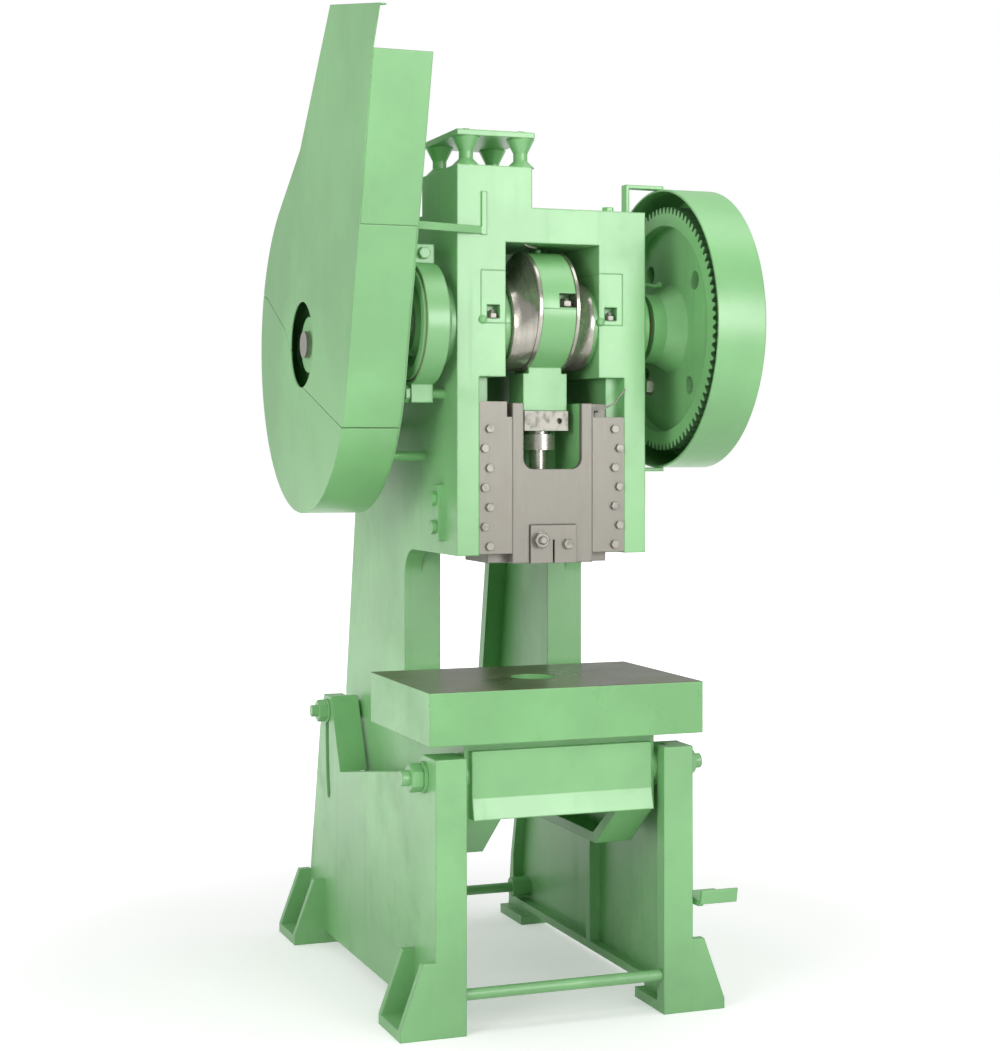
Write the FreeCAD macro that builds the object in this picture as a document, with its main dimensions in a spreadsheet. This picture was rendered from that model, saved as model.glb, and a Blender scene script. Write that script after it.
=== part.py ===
"""Geared open-back inclinable power press: a C-frame casting tilting on two side stands.

X runs left to right as the operator sees it, Y from front to back and Z up. The origin lies
on the floor, at the middle of the four anchor holes. All sizes are millimetres.
"""
import FreeCAD, Part
import math
import os
import re
import Sketcher
from FreeCAD import Placement, Rotation, Vector

# ---------------------------------------------------------------- driving dimensions
SIZES = {
    # side stands
    "anchor_x": 325,
    "anchor_y": 420,
    "anchor_rad": 11,
    "leg_outer": 288,
    "leg_web": 20,
    "leg_inner": 221,
    "leg_rim_inner": 243,
    "leg_wall": 18,
    "post_depth": 35,
    "post_top": 565,
    "shoulder_y": -372,
    "shoulder_z": 525,
    "saddle_y": 211,
    "saddle_z": 434,
    "ear_front_y": 290,
    "ear_back_y": 352,
    "ear_top": 601,
    "ear_heel_y": 389,
    "ear_heel_z": 518,
    "web_bottom": 30,
    "leg_rib_y": -30,
    "leg_rib": 22,
    "foot_reach": 363,
    "foot_depth": 150,
    "foot_plate": 22,
    "gusset": 18,
    "gusset_top": 154,
    # tilting joint between the stands and the frame
    "pivot_y": -420,
    "pivot_z": 520,
    "pivot_rad": 16,
    "pivot_boss_rad": 46,
    "clamp_y": 322,
    "clamp_z": 565,
    "clamp_rad": 14,
    "tilt_range": 15,
    "tie_rad": 12,
    "tie_z": 80,
    # frame casting
    "cheek_outer": 214,
    "cheek_web": 40,
    "flange_inner": 130,
    "flange_depth": 45,
    "back_flange": 32,
    "head_front": -414,
    "head_bottom": 973,
    "head_top": 1703,
    "tower_top": 1788,
    "tower_inner": 47,
    "jamb_inner": 106,
    "jamb_bottom": 1347,
    "jamb_back": -212,
    "window_top": 1629,
    "back_wall_y": -162,
    "back_wall": 24,
    "crown_y": -150,
    "peak_y": 150,
    "peak_z": 1500,
    "nape_y": 272,
    "nape_z": 1400,
    "column_front": -58,
    "column_rear": 418,
    "column_rear_z": 600,
    "rump_y": 395,
    "rump_z": 500,
    "belly_y": 100,
    "belly_z": 340,
    "chin_y": -338,
    "apron_y": -458,
    "apron_bottom": 435,
    "apron_half": 202,
    "apron_proud": 15,
    "apron_lip": 12,
    "apron_crease": 478,
    "apron_top": 575,
    "bed_top": 594,
    "bed_plate": 45,
    "throat_rad": 60,
    "bed_rad": 35,
    "frame_wall": 22,
    # bolster
    "bolster_width": 610,
    "bolster_depth": 411,
    "bolster_front": -508,
    "bolster_height": 109,
    "die_hole_rad": 50,
    # crank train
    "crank_y": -328,
    "crank_z": 1459,
    "throw": 30,
    "journal_rad": 50,
    "bush_wall": 12,
    "web_rad": 129,
    "web_inner": 38,
    "web_outer": 62,
    "pin_rad": 55,
    "pin_bush_wall": 10,
    "rod_stud_rad": 7,
    "rod_stud_x": 23,
    "rod_stud_y": 100,
    "crank_shoulder": 230,
    "brake_seat_rad": 40,
    "big_end_rad": 127,
    "boss_inner": 92,
    "boss_outer": 226,
    "boss_rad": 84,
    "cap_outer": 161,
    "cap_top": 1569,
    "cap_floor": 10,
    "cap_pocket": 28,
    "cap_pocket_depth": 23,
    "stud_rad": 6,
    "shank_half": 50,
    "shank_depth": 84,
    "shank_bottom": 1276,
    "screw_rad": 26,
    "screw_top": 1352,
    "lock_nut_height": 42,
    "collar_rad": 38,
    "collar_top": 1227,
    "collar_height": 34,
    "neck_rad": 20,
    "ball_rad": 34,
    "ball_drop": 108,
    # ram and guides
    "ram_half": 90.7,
    "ram_wing": 135,
    "ram_bottom": 955,
    "ram_top": 1292,
    "ram_window": 66,
    "ram_window_z": 1153,
    "ram_floor": 1135,
    "ram_back": -242,
    "ram_back_wall": 22,
    "gib_inner": 91,
    "gib_outer": 165,
    "gib_thick": 32,
    "gib_bottom": 976,
    "gib_top": 1263,
    "gib_bolt_pitch": 41,
    "gib_bolt_z": 992,
    "gib_bolt_in": 142,
    "gib_bolt_out": 153,
    "gib_screw_rad": 5,
    "ball_sag": 6.5,
    "retainer": 14,
    "shank_hole_rad": 20,
    "clamp_block_half": 52,
    "clamp_block_top": 1035,
    "clamp_block_proud": 6,
    "clamp_stud_rad": 9,
    "clamp_stud_x": 31,
    "clamp_stud_z": 1004,
    # gears, back shaft and flywheel
    "gear_module": 6,
    "gear_teeth": 87,
    "pinion_teeth": 14,
    "gear_left": 292,
    "gear_face": 74,
    "gear_rim_rad": 226,
    "gear_web": 20,
    "gear_hub_rad": 75,
    "gear_hub_left": 242,
    "gear_seat_rad": 45,
    "gear_hole_rad": 20,
    "gear_hole_ring": 160,
    "shaft_drop": 33,
    "shaft_rad": 35,
    "shaft_boss_rad": 62,
    "flywheel_rad": 345,
    "flywheel_left": -428,
    "flywheel_width": 90,
    "flywheel_rim": 55,
    "flywheel_web": 24,
    "flywheel_hub_rad": 62,
    "flywheel_seat_rad": 30,
    "pinion_seat_rad": 25,
    "groove_depth": 13,
    "groove_pitch": 19,
    "backlash": 0.3,
    # brake
    "drum_rad": 118,
    "drum_left": -296,
    "drum_width": 58,
    "lining": 5,
    "band": 5,
    "lug": 12,
    "lug_height": 38,
    "brake_bolt_rad": 7,
    # guards
    "guard_left": -444,
    "guard_width": 127,
    "guard_room": 29,
    "guard_sheet": 3,
    "guard_hub_rad": 95,
    "guard_split_z": 1648,
    "guard_top": 1985,
    "guard_mouth_rise": 50,
    "guard_front_y": -567,
    "guard_crest_y": -262,
    "guard_crest_rise": 146,
    "guard_lip_y": -615,
    "guard_lip_rise": 78,
    "guard_knee_y": -14,
    "guard_knee_drop": 126,
    "guard_nape_y": -238,
    "guard_nape_rise": 119,
    "strap": 4,
    "cover_left": 280,
    "cover_width": 110,
    "cover_rad": 305,
    "cover_sheet": 4,
    # motor platform
    "plate_top": 1861,
    "plate_thick": 12,
    "plate_depth": 232,
    "post_rad": 15,
    # treadle
    "pedal_y": 292,
    "pedal_z": 200,
    "pedal_arm": 12,
    "pedal_tip": 385,
    "pedal_pin_rad": 10,
    "pedal_lug_y": 92,
    "pedal_toe_y": -508,
    "pedal_toe_z": 235,
    "pull_low_x": 330,
    "pull_high_x": 250,
    "pull_rad": 8,
    "pull_jog_low": 560,
    "pull_jog_high": 690,
    "latch_left": 228,
    "latch_thick": 12,
    "latch_y": -370,
    "latch_z": 1330,
    # screws and small arms
    "bolt_rad": 10,
    "side_pad_y": -308,
    "side_pad_z": 1000,
    "side_pad": 120,
    "side_bolt_y": -378,
    "cover_arm": 8,
    # fits
    "run_fit": 0.05,
    "gap": 0.3,
}

doc = FreeCAD.newDocument("stamping_press")
sheet = doc.addObject("Spreadsheet::Sheet", "Sizes")
for row, (alias, number) in enumerate(SIZES.items(), 1):
    sheet.set(f"A{row}", alias)
    sheet.set(f"B{row}", str(number))
    sheet.setAlias(f"B{row}", alias)
doc.recompute()
ALIAS = re.compile(r"\b(" + "|".join(SIZES) + r")\b")

# Stations that several pieces share, written with the names above.
LEG_FRONT = "-(anchor_y + foot_depth / 2)"
LEG_HEEL = "(anchor_y + foot_depth / 2)"
CHEEK_INNER = "(cheek_outer - cheek_web)"
TIE_END = "(leg_outer - gusset / 6)"
BOLSTER_TOP = "(bed_top + bolster_height)"
PIN_Z = "(crank_z + throw)"
CENTRES = "(gear_module * (gear_teeth + pinion_teeth) / 2)"
SHAFT_Y = f"(crank_y + sqrt({CENTRES} ^ 2 - shaft_drop ^ 2))"
SHAFT_Z = "(crank_z - shaft_drop)"
GUARD_RIGHT = "(guard_left + guard_width)"
GUARD_RAD = "(flywheel_rad + guard_room)"
COVER_RIGHT = "(cover_left + cover_width)"
GEAR_RIGHT = "(gear_left + gear_face)"
DRUM_RIGHT = "(drum_left + drum_width)"
LOCK_NUT_BOTTOM = "(shank_bottom - lock_nut_height)"
BALL_Z = "(collar_top - collar_height - ball_drop)"
PLATE_BOTTOM = "(plate_top - plate_thick)"
DIE_Y = "(bolster_front + bolster_depth / 2)"
BRAKE_ANCHOR_Z = "(crank_z - drum_rad - lining - band - lug_height / 2)"
BRAKE_BOLT_Z = "(crank_z + drum_rad + lining + band + lug_height / 2)"
GIB_SCREWS = 7
ALONG_X = Rotation(Vector(0, 1, 0), 90)
ALONG_Y = Rotation(Vector(1, 0, 0), -90)
ALONG_Z = Rotation()

probe = doc.addObject("App::FeaturePython", "Probe")
probe.addProperty("App::PropertyFloat", "Number")
nodes = {}


# ---------------------------------------------------------------- drawing helpers
def cell(text):
    """The expression with each named size read from the sheet."""
    return ALIAS.sub(r"Sizes.\1", text)


def value(text):
    """The number that an expression has now."""
    probe.setExpression("Number", cell(text))
    probe.recompute()
    return probe.Number


def bind(item, **expressions):
    for name, text in expressions.items():
        item.setExpression(name, cell(text))
    return item


def place(item, x, y, z, turn=ALONG_Z):
    """Stand an object at three bound stations."""
    item.Placement = Placement(Vector(value(x), value(y), value(z)), turn)
    for axis, text in zip("xyz", (x, y, z)):
        item.setExpression(f".Placement.Base.{axis}", cell(text))
    return item


def block(x0, x1, y0, y1, z0, z1):
    item = doc.addObject("Part::Box", "Block")
    bind(item, Length=f"({x1}) - ({x0})", Width=f"({y1}) - ({y0})", Height=f"({z1}) - ({z0})")
    return place(item, x0, y0, z0)


def bar(along, radius, start, end, first, second):
    """A round bar along x, y or z; first and second are its other two coordinates."""
    item = bind(doc.addObject("Part::Cylinder", "Bar"), Radius=radius, Height=f"({end}) - ({start})")
    if along == "x":
        return place(item, start, first, second, ALONG_X)
    if along == "y":
        return place(item, first, start, second, ALONG_Y)
    return place(item, first, second, start, ALONG_Z)


def hexagon(along, radius, start, end, first, second):
    """A hexagon bar; radius is measured over the corners."""
    item = doc.addObject("Part::Prism", "Hexagon")
    item.Polygon = 6
    bind(item, Circumradius=radius, Height=f"({end}) - ({start})")
    if along == "x":
        return place(item, start, first, second, ALONG_X)
    if along == "y":
        return place(item, first, start, second, ALONG_Y)
    return place(item, first, second, start, ALONG_Z)


def ball(radius, x, y, z):
    return place(bind(doc.addObject("Part::Sphere", "Ball"), Radius=radius), x, y, z)


def join(*shapes):
    item = doc.addObject("Part::MultiFuse", "Join")
    item.Shapes = list(shapes)
    item.Refine = True
    return item


def cut(base, *tools):
    item = doc.addObject("Part::Cut", "Cut")
    item.Base = base
    item.Tool = tools[0] if len(tools) == 1 else join(*tools)
    item.Refine = True
    return item


def common(first, second):
    item = doc.addObject("Part::Common", "Common")
    item.Base = first
    item.Tool = second
    return item


def group(*shapes):
    """Like pieces that stay separate solids in one node."""
    item = doc.addObject("Part::Compound", "Group")
    item.Links = list(shapes)
    return item


def mirror(source):
    """The same piece on the other side of the machine."""
    item = doc.addObject("Part::Mirroring", "Mirror")
    item.Source = source
    item.Normal = Vector(1, 0, 0)
    return item


def node(label, item):
    item.Label = label
    nodes[label] = item
    return item


def origin_plane(body, role):
    return next(feature for feature in body.Origin.OriginFeatures if feature.Role == role)


def outline(body, role, loops, offset):
    """A sketch on one of the body's planes; each corner is held by two bound distances."""
    sketch = body.newObject("Sketcher::SketchObject", "Outline")
    sketch.AttachmentSupport = [(origin_plane(body, role), "")]
    sketch.MapMode = "FlatFace"
    sketch.setExpression(".AttachmentOffset.Base.z", cell(offset))
    for loop in loops:
        if loop[0] == "circle":
            draw_circle(sketch, *loop[1:])
        else:
            draw_polygon(sketch, loop)
    return sketch


def hold(sketch, direction, geometry, vertex, number, text):
    index = sketch.addConstraint(Sketcher.Constraint(direction, -1, 1, geometry, vertex, number))
    sketch.setExpression(f"Constraints[{index}]", cell(text))


def draw_polygon(sketch, corners):
    points = [Vector(value(u), value(v), 0) for u, v in corners]
    first = sketch.GeometryCount
    count = len(points)
    for index, point in enumerate(points):
        sketch.addGeometry(Part.LineSegment(point, points[(index + 1) % count]), False)
    for index in range(count):
        following = first + (index + 1) % count
        sketch.addConstraint(Sketcher.Constraint("Coincident", first + index, 2, following, 1))
    for index, (u, v) in enumerate(corners):
        hold(sketch, "DistanceX", first + index, 1, points[index].x, u)
        hold(sketch, "DistanceY", first + index, 1, points[index].y, v)


def draw_circle(sketch, u, v, radius):
    index = sketch.GeometryCount
    circle = Part.Circle(Vector(value(u), value(v), 0), Vector(0, 0, 1), value(radius))
    sketch.addGeometry(circle, False)
    hold(sketch, "DistanceX", index, 3, value(u), u)
    hold(sketch, "DistanceY", index, 3, value(v), v)
    last = sketch.addConstraint(Sketcher.Constraint("Radius", index, value(radius)))
    sketch.setExpression(f"Constraints[{last}]", cell(radius))


def pad(body, role, loops, start, end):
    """Add material between two stations along the plane's normal."""
    feature = body.newObject("PartDesign::Pad", "Pad")
    flipped = role == "XZ_Plane"
    feature.Profile = outline(body, role, loops, f"-({end})" if flipped else start)
    feature.setExpression("Length", cell(f"({end}) - ({start})"))
    doc.recompute()
    return feature


def pocket(body, role, loops, start, end):
    """Remove material between two stations along the plane's normal."""
    before = body.Shape.Volume
    feature = body.newObject("PartDesign::Pocket", "Pocket")
    flipped = role == "XZ_Plane"
    feature.Profile = outline(body, role, loops, f"-({start})" if flipped else end)
    feature.setExpression("Length", cell(f"({end}) - ({start})"))
    doc.recompute()
    if feature.Shape.Volume >= before:
        raise RuntimeError(f"a pocket of {body.Label} cuts nothing")
    return feature


def turned(label, profile):
    """A piece turned in the lathe about X; the profile is (station, radius) pairs."""
    body = doc.addObject("PartDesign::Body", label)
    feature = body.newObject("PartDesign::Revolution", "Turned")
    sketch = outline(body, "XZ_Plane", [profile], "0")
    feature.Profile = sketch
    feature.ReferenceAxis = (sketch, ["H_Axis"])
    feature.Angle = 360
    return body


def soften(body, radius, *places):
    """Round the edges of a body that pass through the given places."""
    doc.recompute()
    shape = body.Tip.Shape
    names = []
    for spot in places:
        vertex = Part.Vertex(Vector(*(value(text) for text in spot)))
        reach = [vertex.distToShape(edge)[0] for edge in shape.Edges]
        names.append(f"Edge{reach.index(min(reach)) + 1}")
    base = body.Tip
    feature = body.newObject("PartDesign::Fillet", "Rounding")
    feature.Base = (base, names)
    feature.setExpression("Radius", cell(radius))
    doc.recompute()
    return feature


def nut(along, radius, start, height, first, second):
    """A hexagon nut on a stud of the given radius."""
    outer = hexagon(along, f"({radius}) * 1.9", start, f"({start}) + ({height})", first, second)
    bore = bar(along, f"({radius}) + run_fit", start, f"({start}) + ({height})", first, second)
    return cut(outer, bore)


def ring(along, outer, inner, start, end, first, second):
    return cut(
        bar(along, outer, start, end, first, second),
        bar(along, inner, start, end, first, second),
    )


# ---------------------------------------------------------------- side stands
def side_stand():
    """One cast stand: a web, rimmed on its inner side, on two gusseted feet."""
    body = doc.addObject("PartDesign::Body", "Stand")
    toe = "-(anchor_y - foot_depth / 2)"
    heel = "(anchor_y - foot_depth / 2)"
    web_face = "(leg_outer - leg_web)"
    post_back = f"({LEG_FRONT} + post_depth)"
    side = [
        (LEG_FRONT, "0"),
        (LEG_FRONT, "post_top"),
        ("pivot_y", "post_top"),
        ("shoulder_y", "shoulder_z"),
        ("saddle_y", "saddle_z"),
        ("ear_front_y", "ear_top"),
        ("ear_back_y", "ear_top"),
        ("ear_heel_y", "ear_heel_z"),
        (f"{LEG_HEEL} - gusset", "gusset_top"),
        (LEG_HEEL, "foot_plate"),
        (LEG_HEEL, "0"),
        (heel, "0"),
        (heel, "web_bottom"),
        (toe, "web_bottom"),
        (toe, "0"),
    ]
    hollow = [
        (post_back, "web_bottom + leg_wall"),
        (post_back, "shoulder_z - leg_wall"),
        ("saddle_y + leg_wall", "saddle_z - leg_wall"),
        ("ear_front_y + leg_wall", "ear_top - leg_wall / 2"),
        ("ear_back_y - leg_wall", "ear_top - leg_wall / 2"),
        ("ear_heel_y - leg_wall", "ear_heel_z"),
        (f"{LEG_HEEL} - gusset - leg_wall", "gusset_top"),
        (f"{LEG_HEEL} - gusset - leg_wall", "web_bottom + leg_wall"),
    ]
    post = [
        (LEG_FRONT, "0"),
        (LEG_FRONT, "post_top"),
        (post_back, "post_top"),
        (post_back, "0"),
    ]
    ear_strip = [
        ("saddle_y", "saddle_z"),
        ("ear_front_y", "ear_top"),
        ("ear_front_y + leg_wall", "ear_top"),
        ("saddle_y + leg_wall", "saddle_z"),
    ]
    rib = [
        ("leg_rib_y - leg_rib / 2", "web_bottom"),
        ("leg_rib_y + leg_rib / 2", "web_bottom"),
        ("leg_rib_y + leg_rib / 2", "saddle_z + leg_wall"),
        ("leg_rib_y - leg_rib / 2", "saddle_z + leg_wall"),
    ]
    pad(body, "YZ_Plane", [side], web_face, "leg_outer")
    pad(body, "YZ_Plane", [side, hollow], "leg_rim_inner", web_face)
    pad(body, "YZ_Plane", [post], "leg_inner", "leg_rim_inner")
    pad(body, "YZ_Plane", [ear_strip], "leg_inner", "leg_rim_inner")
    pad(body, "YZ_Plane", [rib], "leg_rim_inner", web_face)
    pad(body, "YZ_Plane", [("circle", "pivot_y", "pivot_z", "pivot_boss_rad")], "leg_inner", "leg_outer")
    pad(body, "YZ_Plane", [("circle", "anchor_y", "tie_z", "tie_rad * 2")], "leg_inner", web_face)
    for near, far in ((LEG_FRONT, toe), (heel, LEG_HEEL)):
        sole = [("leg_inner", near), ("foot_reach", near), ("foot_reach", far), ("leg_inner", far)]
        pad(body, "XY_Plane", [sole], "0", "foot_plate")
        for start in (near, f"{far} - gusset"):
            fin = [
                ("leg_outer", "foot_plate"),
                ("foot_reach", "foot_plate"),
                ("leg_outer + gusset * 1.5", "gusset_top"),
                ("leg_outer", "gusset_top"),
            ]
            pad(body, "XZ_Plane", [fin], start, f"{start} + gusset")
    holes = [("circle", "anchor_x", "anchor_y", "anchor_rad"),
             ("circle", "anchor_x", "-anchor_y", "anchor_rad")]
    pocket(body, "XY_Plane", holes, "0", "foot_plate")
    bore = ("circle", "pivot_y", "pivot_z", "pivot_rad + run_fit")
    ties = [
        ("circle", f"{LEG_FRONT} + post_depth / 2", "tie_z", "tie_rad + run_fit"),
        ("circle", "anchor_y", "tie_z", "tie_rad + run_fit"),
    ]
    pocket(body, "YZ_Plane", [bore], "leg_inner", "leg_outer")
    pocket(body, "YZ_Plane", ties, "leg_inner", "leg_outer")
    return cut(body, clamp_slot())


def clamp_slot():
    """The arc about the pivot bolt that the clamp bolt runs along as the frame tilts."""
    reach = "sqrt((clamp_y - pivot_y) ^ 2 + (clamp_z - pivot_z) ^ 2)"
    half = "(clamp_rad + gap)"
    rise = math.degrees(math.atan2(value("clamp_z - pivot_z"), value("clamp_y - pivot_y")))
    turn = Rotation(Vector(1, 0, 0), 90 + rise - value("tilt_range")) * ALONG_X
    sector = bar("x", f"{reach} + {half}", "leg_inner", "leg_outer", "pivot_y", "pivot_z")
    sector.Placement = Placement(sector.Placement.Base, turn)
    bind(sector, Angle="tilt_range")
    core = bar("x", f"{reach} - {half}", "leg_inner", "leg_outer", "pivot_y", "pivot_z")
    top_end = bar("x", half, "leg_inner", "leg_outer", "clamp_y", "clamp_z")
    low = math.radians(rise - value("tilt_range"))
    low_y = f"pivot_y + {reach} * {math.cos(low)}"
    low_z = f"pivot_z + {reach} * {math.sin(low)}"
    low_end = bar("x", half, "leg_inner", "leg_outer", low_y, low_z)
    return join(cut(sector, core), top_end, low_end)


right_leg = node("right_leg", side_stand())
node("left_leg", mirror(right_leg))
node("front_tie_rod", bar("x", "tie_rad", f"-{TIE_END}", TIE_END, f"{LEG_FRONT} + post_depth / 2", "tie_z"))
node("rear_tie_rod", bar("x", "tie_rad", f"-{TIE_END}", TIE_END, "anchor_y", "tie_z"))


# ---------------------------------------------------------------- frame casting
def cheek():
    """The right half of the frame: side wall, flanges, jamb and bearing bosses."""
    body = doc.addObject("PartDesign::Body", "Cheek")
    profile = [
        ("head_front", "head_bottom"),
        ("head_front", "head_top"),
        ("crown_y", "head_top"),
        ("peak_y", "peak_z"),
        ("nape_y", "nape_z"),
        ("column_rear", "column_rear_z"),
        ("rump_y", "rump_z"),
        ("belly_y", "belly_z"),
        ("chin_y", "belly_z"),
        ("apron_y", "apron_bottom"),
        ("apron_y", "bed_top"),
        ("column_front", "bed_top"),
        ("column_front", "head_bottom"),
    ]
    pad(body, "YZ_Plane", [profile], CHEEK_INNER, "cheek_outer")
    soften(body, "throat_rad", (f"{CHEEK_INNER} + 1", "column_front", "head_bottom"))
    soften(body, "bed_rad", (f"{CHEEK_INNER} + 1", "column_front", "bed_top"))
    column_flange = [
        ("column_front", "bed_top - bed_plate"),
        ("column_front", "head_bottom + throat_rad"),
        ("column_front + flange_depth", "head_bottom + throat_rad"),
        ("column_front + flange_depth", "bed_top - bed_plate"),
    ]
    spine = [
        ("column_rear - back_flange", "column_rear_z"),
        ("column_rear", "column_rear_z"),
        ("nape_y", "nape_z"),
        ("nape_y - back_flange", "nape_z"),
    ]
    keel = [
        ("apron_y", "apron_bottom"),
        ("chin_y", "belly_z"),
        ("belly_y", "belly_z"),
        ("belly_y", "belly_z + frame_wall"),
        ("chin_y + frame_wall / 2", "belly_z + frame_wall"),
        ("apron_y + frame_wall * 1.5", "apron_bottom"),
    ]
    for strip in (column_flange, spine, keel):
        pad(body, "YZ_Plane", [strip], "flange_inner", CHEEK_INNER)
    for inner, near, far, low, high in (
        ("jamb_inner", "head_front", "jamb_back", "jamb_bottom", "window_top"),
        ("gib_outer", "head_front", "head_front + gib_thick", "head_bottom", "jamb_bottom"),
        ("ram_wing + gap", "head_front + gib_thick", "back_wall_y", "head_bottom", "jamb_bottom"),
        ("gib_inner", "ram_back + gap", "back_wall_y", "head_bottom", "ram_top"),
    ):
        pad(body, "YZ_Plane", [[(near, low), (near, high), (far, high), (far, low)]], inner, CHEEK_INNER)
    pad(body, "YZ_Plane", [("circle", "crank_y", "crank_z", "boss_rad")], "boss_inner", "boss_outer")
    shaft_boss = ("circle", SHAFT_Y, SHAFT_Z, "shaft_boss_rad")
    pad(body, "YZ_Plane", [shaft_boss], f"{CHEEK_INNER} - frame_wall", "boss_outer")
    pivot_boss = ("circle", "pivot_y", "pivot_z", "pivot_boss_rad - gap * 10")
    pad(body, "YZ_Plane", [pivot_boss], "flange_inner", "leg_inner - gap")
    bearing = ("circle", "crank_y", "crank_z", "journal_rad + bush_wall + run_fit")
    pocket(body, "YZ_Plane", [bearing], "jamb_inner", "boss_outer")
    pocket(body, "YZ_Plane", [("circle", "crank_y", "crank_z", "journal_rad + 2")], "boss_inner",
           "jamb_inner")
    shaft_bore = ("circle", SHAFT_Y, SHAFT_Z, "shaft_rad + bush_wall + run_fit")
    pocket(body, "YZ_Plane", [shaft_bore], f"{CHEEK_INNER} - frame_wall", "boss_outer")
    pocket(body, "YZ_Plane", [("circle", "pivot_y", "pivot_z", "pivot_rad + run_fit")], "flange_inner",
           "leg_inner")
    clamp_hole = ("circle", "clamp_y", "clamp_z", "clamp_rad + run_fit")
    clamp_boss = ("circle", "clamp_y", "clamp_z", "clamp_rad * 1.5")
    pad(body, "YZ_Plane", [clamp_boss], "cheek_outer", "leg_outer - leg_web - gap")
    pocket(body, "YZ_Plane", [clamp_hole], CHEEK_INNER, "leg_outer")
    cap_back = "2 * crank_y - head_front"
    seat = [("head_front", "crank_z"), ("head_front", "cap_top"), (cap_back, "cap_top"),
            (cap_back, "crank_z")]
    pocket(body, "YZ_Plane", [seat], "boss_inner", "cap_outer")
    return body


def apron():
    """The front wall under the bed; it leans out below the crease."""
    body = doc.addObject("PartDesign::Body", "Apron")
    face = "(apron_y - apron_proud)"
    profile = [
        (face, "apron_top"),
        (face, "apron_crease"),
        (f"{face} - apron_lip", "apron_bottom"),
        ("apron_y + strap", "apron_bottom"),
        ("apron_y + strap", "bed_top - bed_plate"),
        ("apron_y + strap", "apron_top"),
    ]
    pad(body, "YZ_Plane", [profile], "-apron_half", "apron_half")
    return body


def platform_post(x, y):
    """A short pillar that flares into the tower below and the plate above."""
    foot = place(bind(doc.addObject("Part::Cone", "Flare"), Radius1="post_rad * 2", Radius2="post_rad",
                      Height="post_rad"), x, y, "tower_top")
    crown = place(bind(doc.addObject("Part::Cone", "Flare"), Radius1="post_rad", Radius2="post_rad * 2",
                       Height="post_rad * 2"), x, y, f"{PLATE_BOTTOM} - post_rad * 2")
    return [foot, crown, bar("z", "post_rad", "tower_top", PLATE_BOTTOM, x, y)]


def screw(along, radius, shank, head, first, second):
    """A hexagon-headed screw; shank and head are (low, high) station pairs."""
    return join(
        bar(along, radius, *shank, first, second),
        hexagon(along, f"({radius}) * 1.9", *head, first, second),
    )


def hole(along, radius, shank, head, first, second):
    """The clear space that a screw's shank needs."""
    return bar(along, f"({radius}) + run_fit", *shank, first, second)


def gib_spots(side):
    """The seven screws of one gib, staggered in two rows."""
    spots = []
    for index in range(GIB_SCREWS):
        x = f"{side} * " + ("gib_bolt_out" if index % 2 else "gib_bolt_in")
        shank = ("head_front", "head_front + gib_thick * 2")
        head = ("head_front - gib_screw_rad * 1.4", "head_front")
        spots.append(("y", "gib_screw_rad", shank, head, x, f"gib_bolt_z + gib_bolt_pitch * {index}"))
    return spots


def cap_spots():
    shank = ("crank_z - stud_rad * 7", "crank_z + cap_floor + stud_rad * 3")
    head = ("crank_z + cap_floor", "crank_z + cap_floor + stud_rad * 1.7")
    middle = "(jamb_inner + cap_outer) / 2"
    return [("z", "stud_rad", shank, head, f"{side} * {middle}", "head_front + stud_rad * 1.5")
            for side in (1, -1)]


def bolster_spots():
    low = "(bed_top - bed_plate)"
    shank = (low, "bed_top + bolster_height / 3")
    head = (f"{low} - bolt_rad * 1.3", low)
    spots = []
    for x in ("-apron_half / 2.5", "apron_half / 2.5"):
        for y in (f"{DIE_Y} - bolster_depth / 4", f"{DIE_Y} + bolster_depth / 2.5"):
            spots.append(("z", "bolt_rad", shank, head, x, y))
    return spots


def platform_spots():
    shank = (f"{PLATE_BOTTOM} - post_rad", "plate_top")
    head = ("plate_top", "plate_top + gib_screw_rad")
    spots = []
    for x in ("-cheek_outer + post_rad * 2", "-tower_inner - post_rad"):
        for y in ("head_front + post_rad * 2", "head_front + plate_depth - post_rad * 2"):
            spots.append(("z", "gib_screw_rad", shank, head, x, y))
    return spots


def side_spots():
    """Screws on the two sides of the head."""
    left_face = "(-cheek_outer - lug)"
    spots = []
    for z in ("side_pad_z + side_pad * 0.25", "side_pad_z + side_pad * 0.75"):
        shank = (left_face, f"{left_face} + bolt_rad * 4")
        spots.append(("x", "bolt_rad * 0.8", shank, (f"{left_face} - bolt_rad", left_face), "side_pad_y", z))
        shank = ("cheek_outer - bolt_rad * 3", "cheek_outer")
        spots.append(("x", "bolt_rad * 0.8", shank, ("cheek_outer", "cheek_outer + bolt_rad"),
                      "side_bolt_y", z))
    return spots


def bracket_spots():
    """The screws that hold the two arms of the gear cover."""
    foot = ("z", "bolt_rad * 0.7", ("head_top - bolt_rad * 2", "head_top + cover_arm"),
            ("head_top + cover_arm", "head_top + cover_arm + bolt_rad"), f"{CHEEK_INNER} - bolt_rad",
            "crank_y")
    side = ("x", "bolt_rad * 0.7", ("cheek_outer - bolt_rad * 2", "cheek_outer + cover_arm"),
            ("cheek_outer + cover_arm", "cheek_outer + cover_arm + bolt_rad"), "crank_y",
            "crank_z - cover_rad - cover_arm * 4")
    return [foot, side]


def anchor_spot():
    z = BRAKE_ANCHOR_Z
    return ("x", "bolt_rad", ("drum_left + lug / 4", "-cheek_outer + bolt_rad * 2"),
            ("drum_left + lug / 4 - bolt_rad", "drum_left + lug / 4"), "crank_y", z)


def latch_spot():
    end = "(latch_left + latch_thick + gap)"
    return ("x", "pedal_pin_rad", ("cheek_outer - pedal_pin_rad * 2", end),
            (end, f"{end} + pedal_pin_rad * 0.8"),
            "latch_y", "latch_z")


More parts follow.
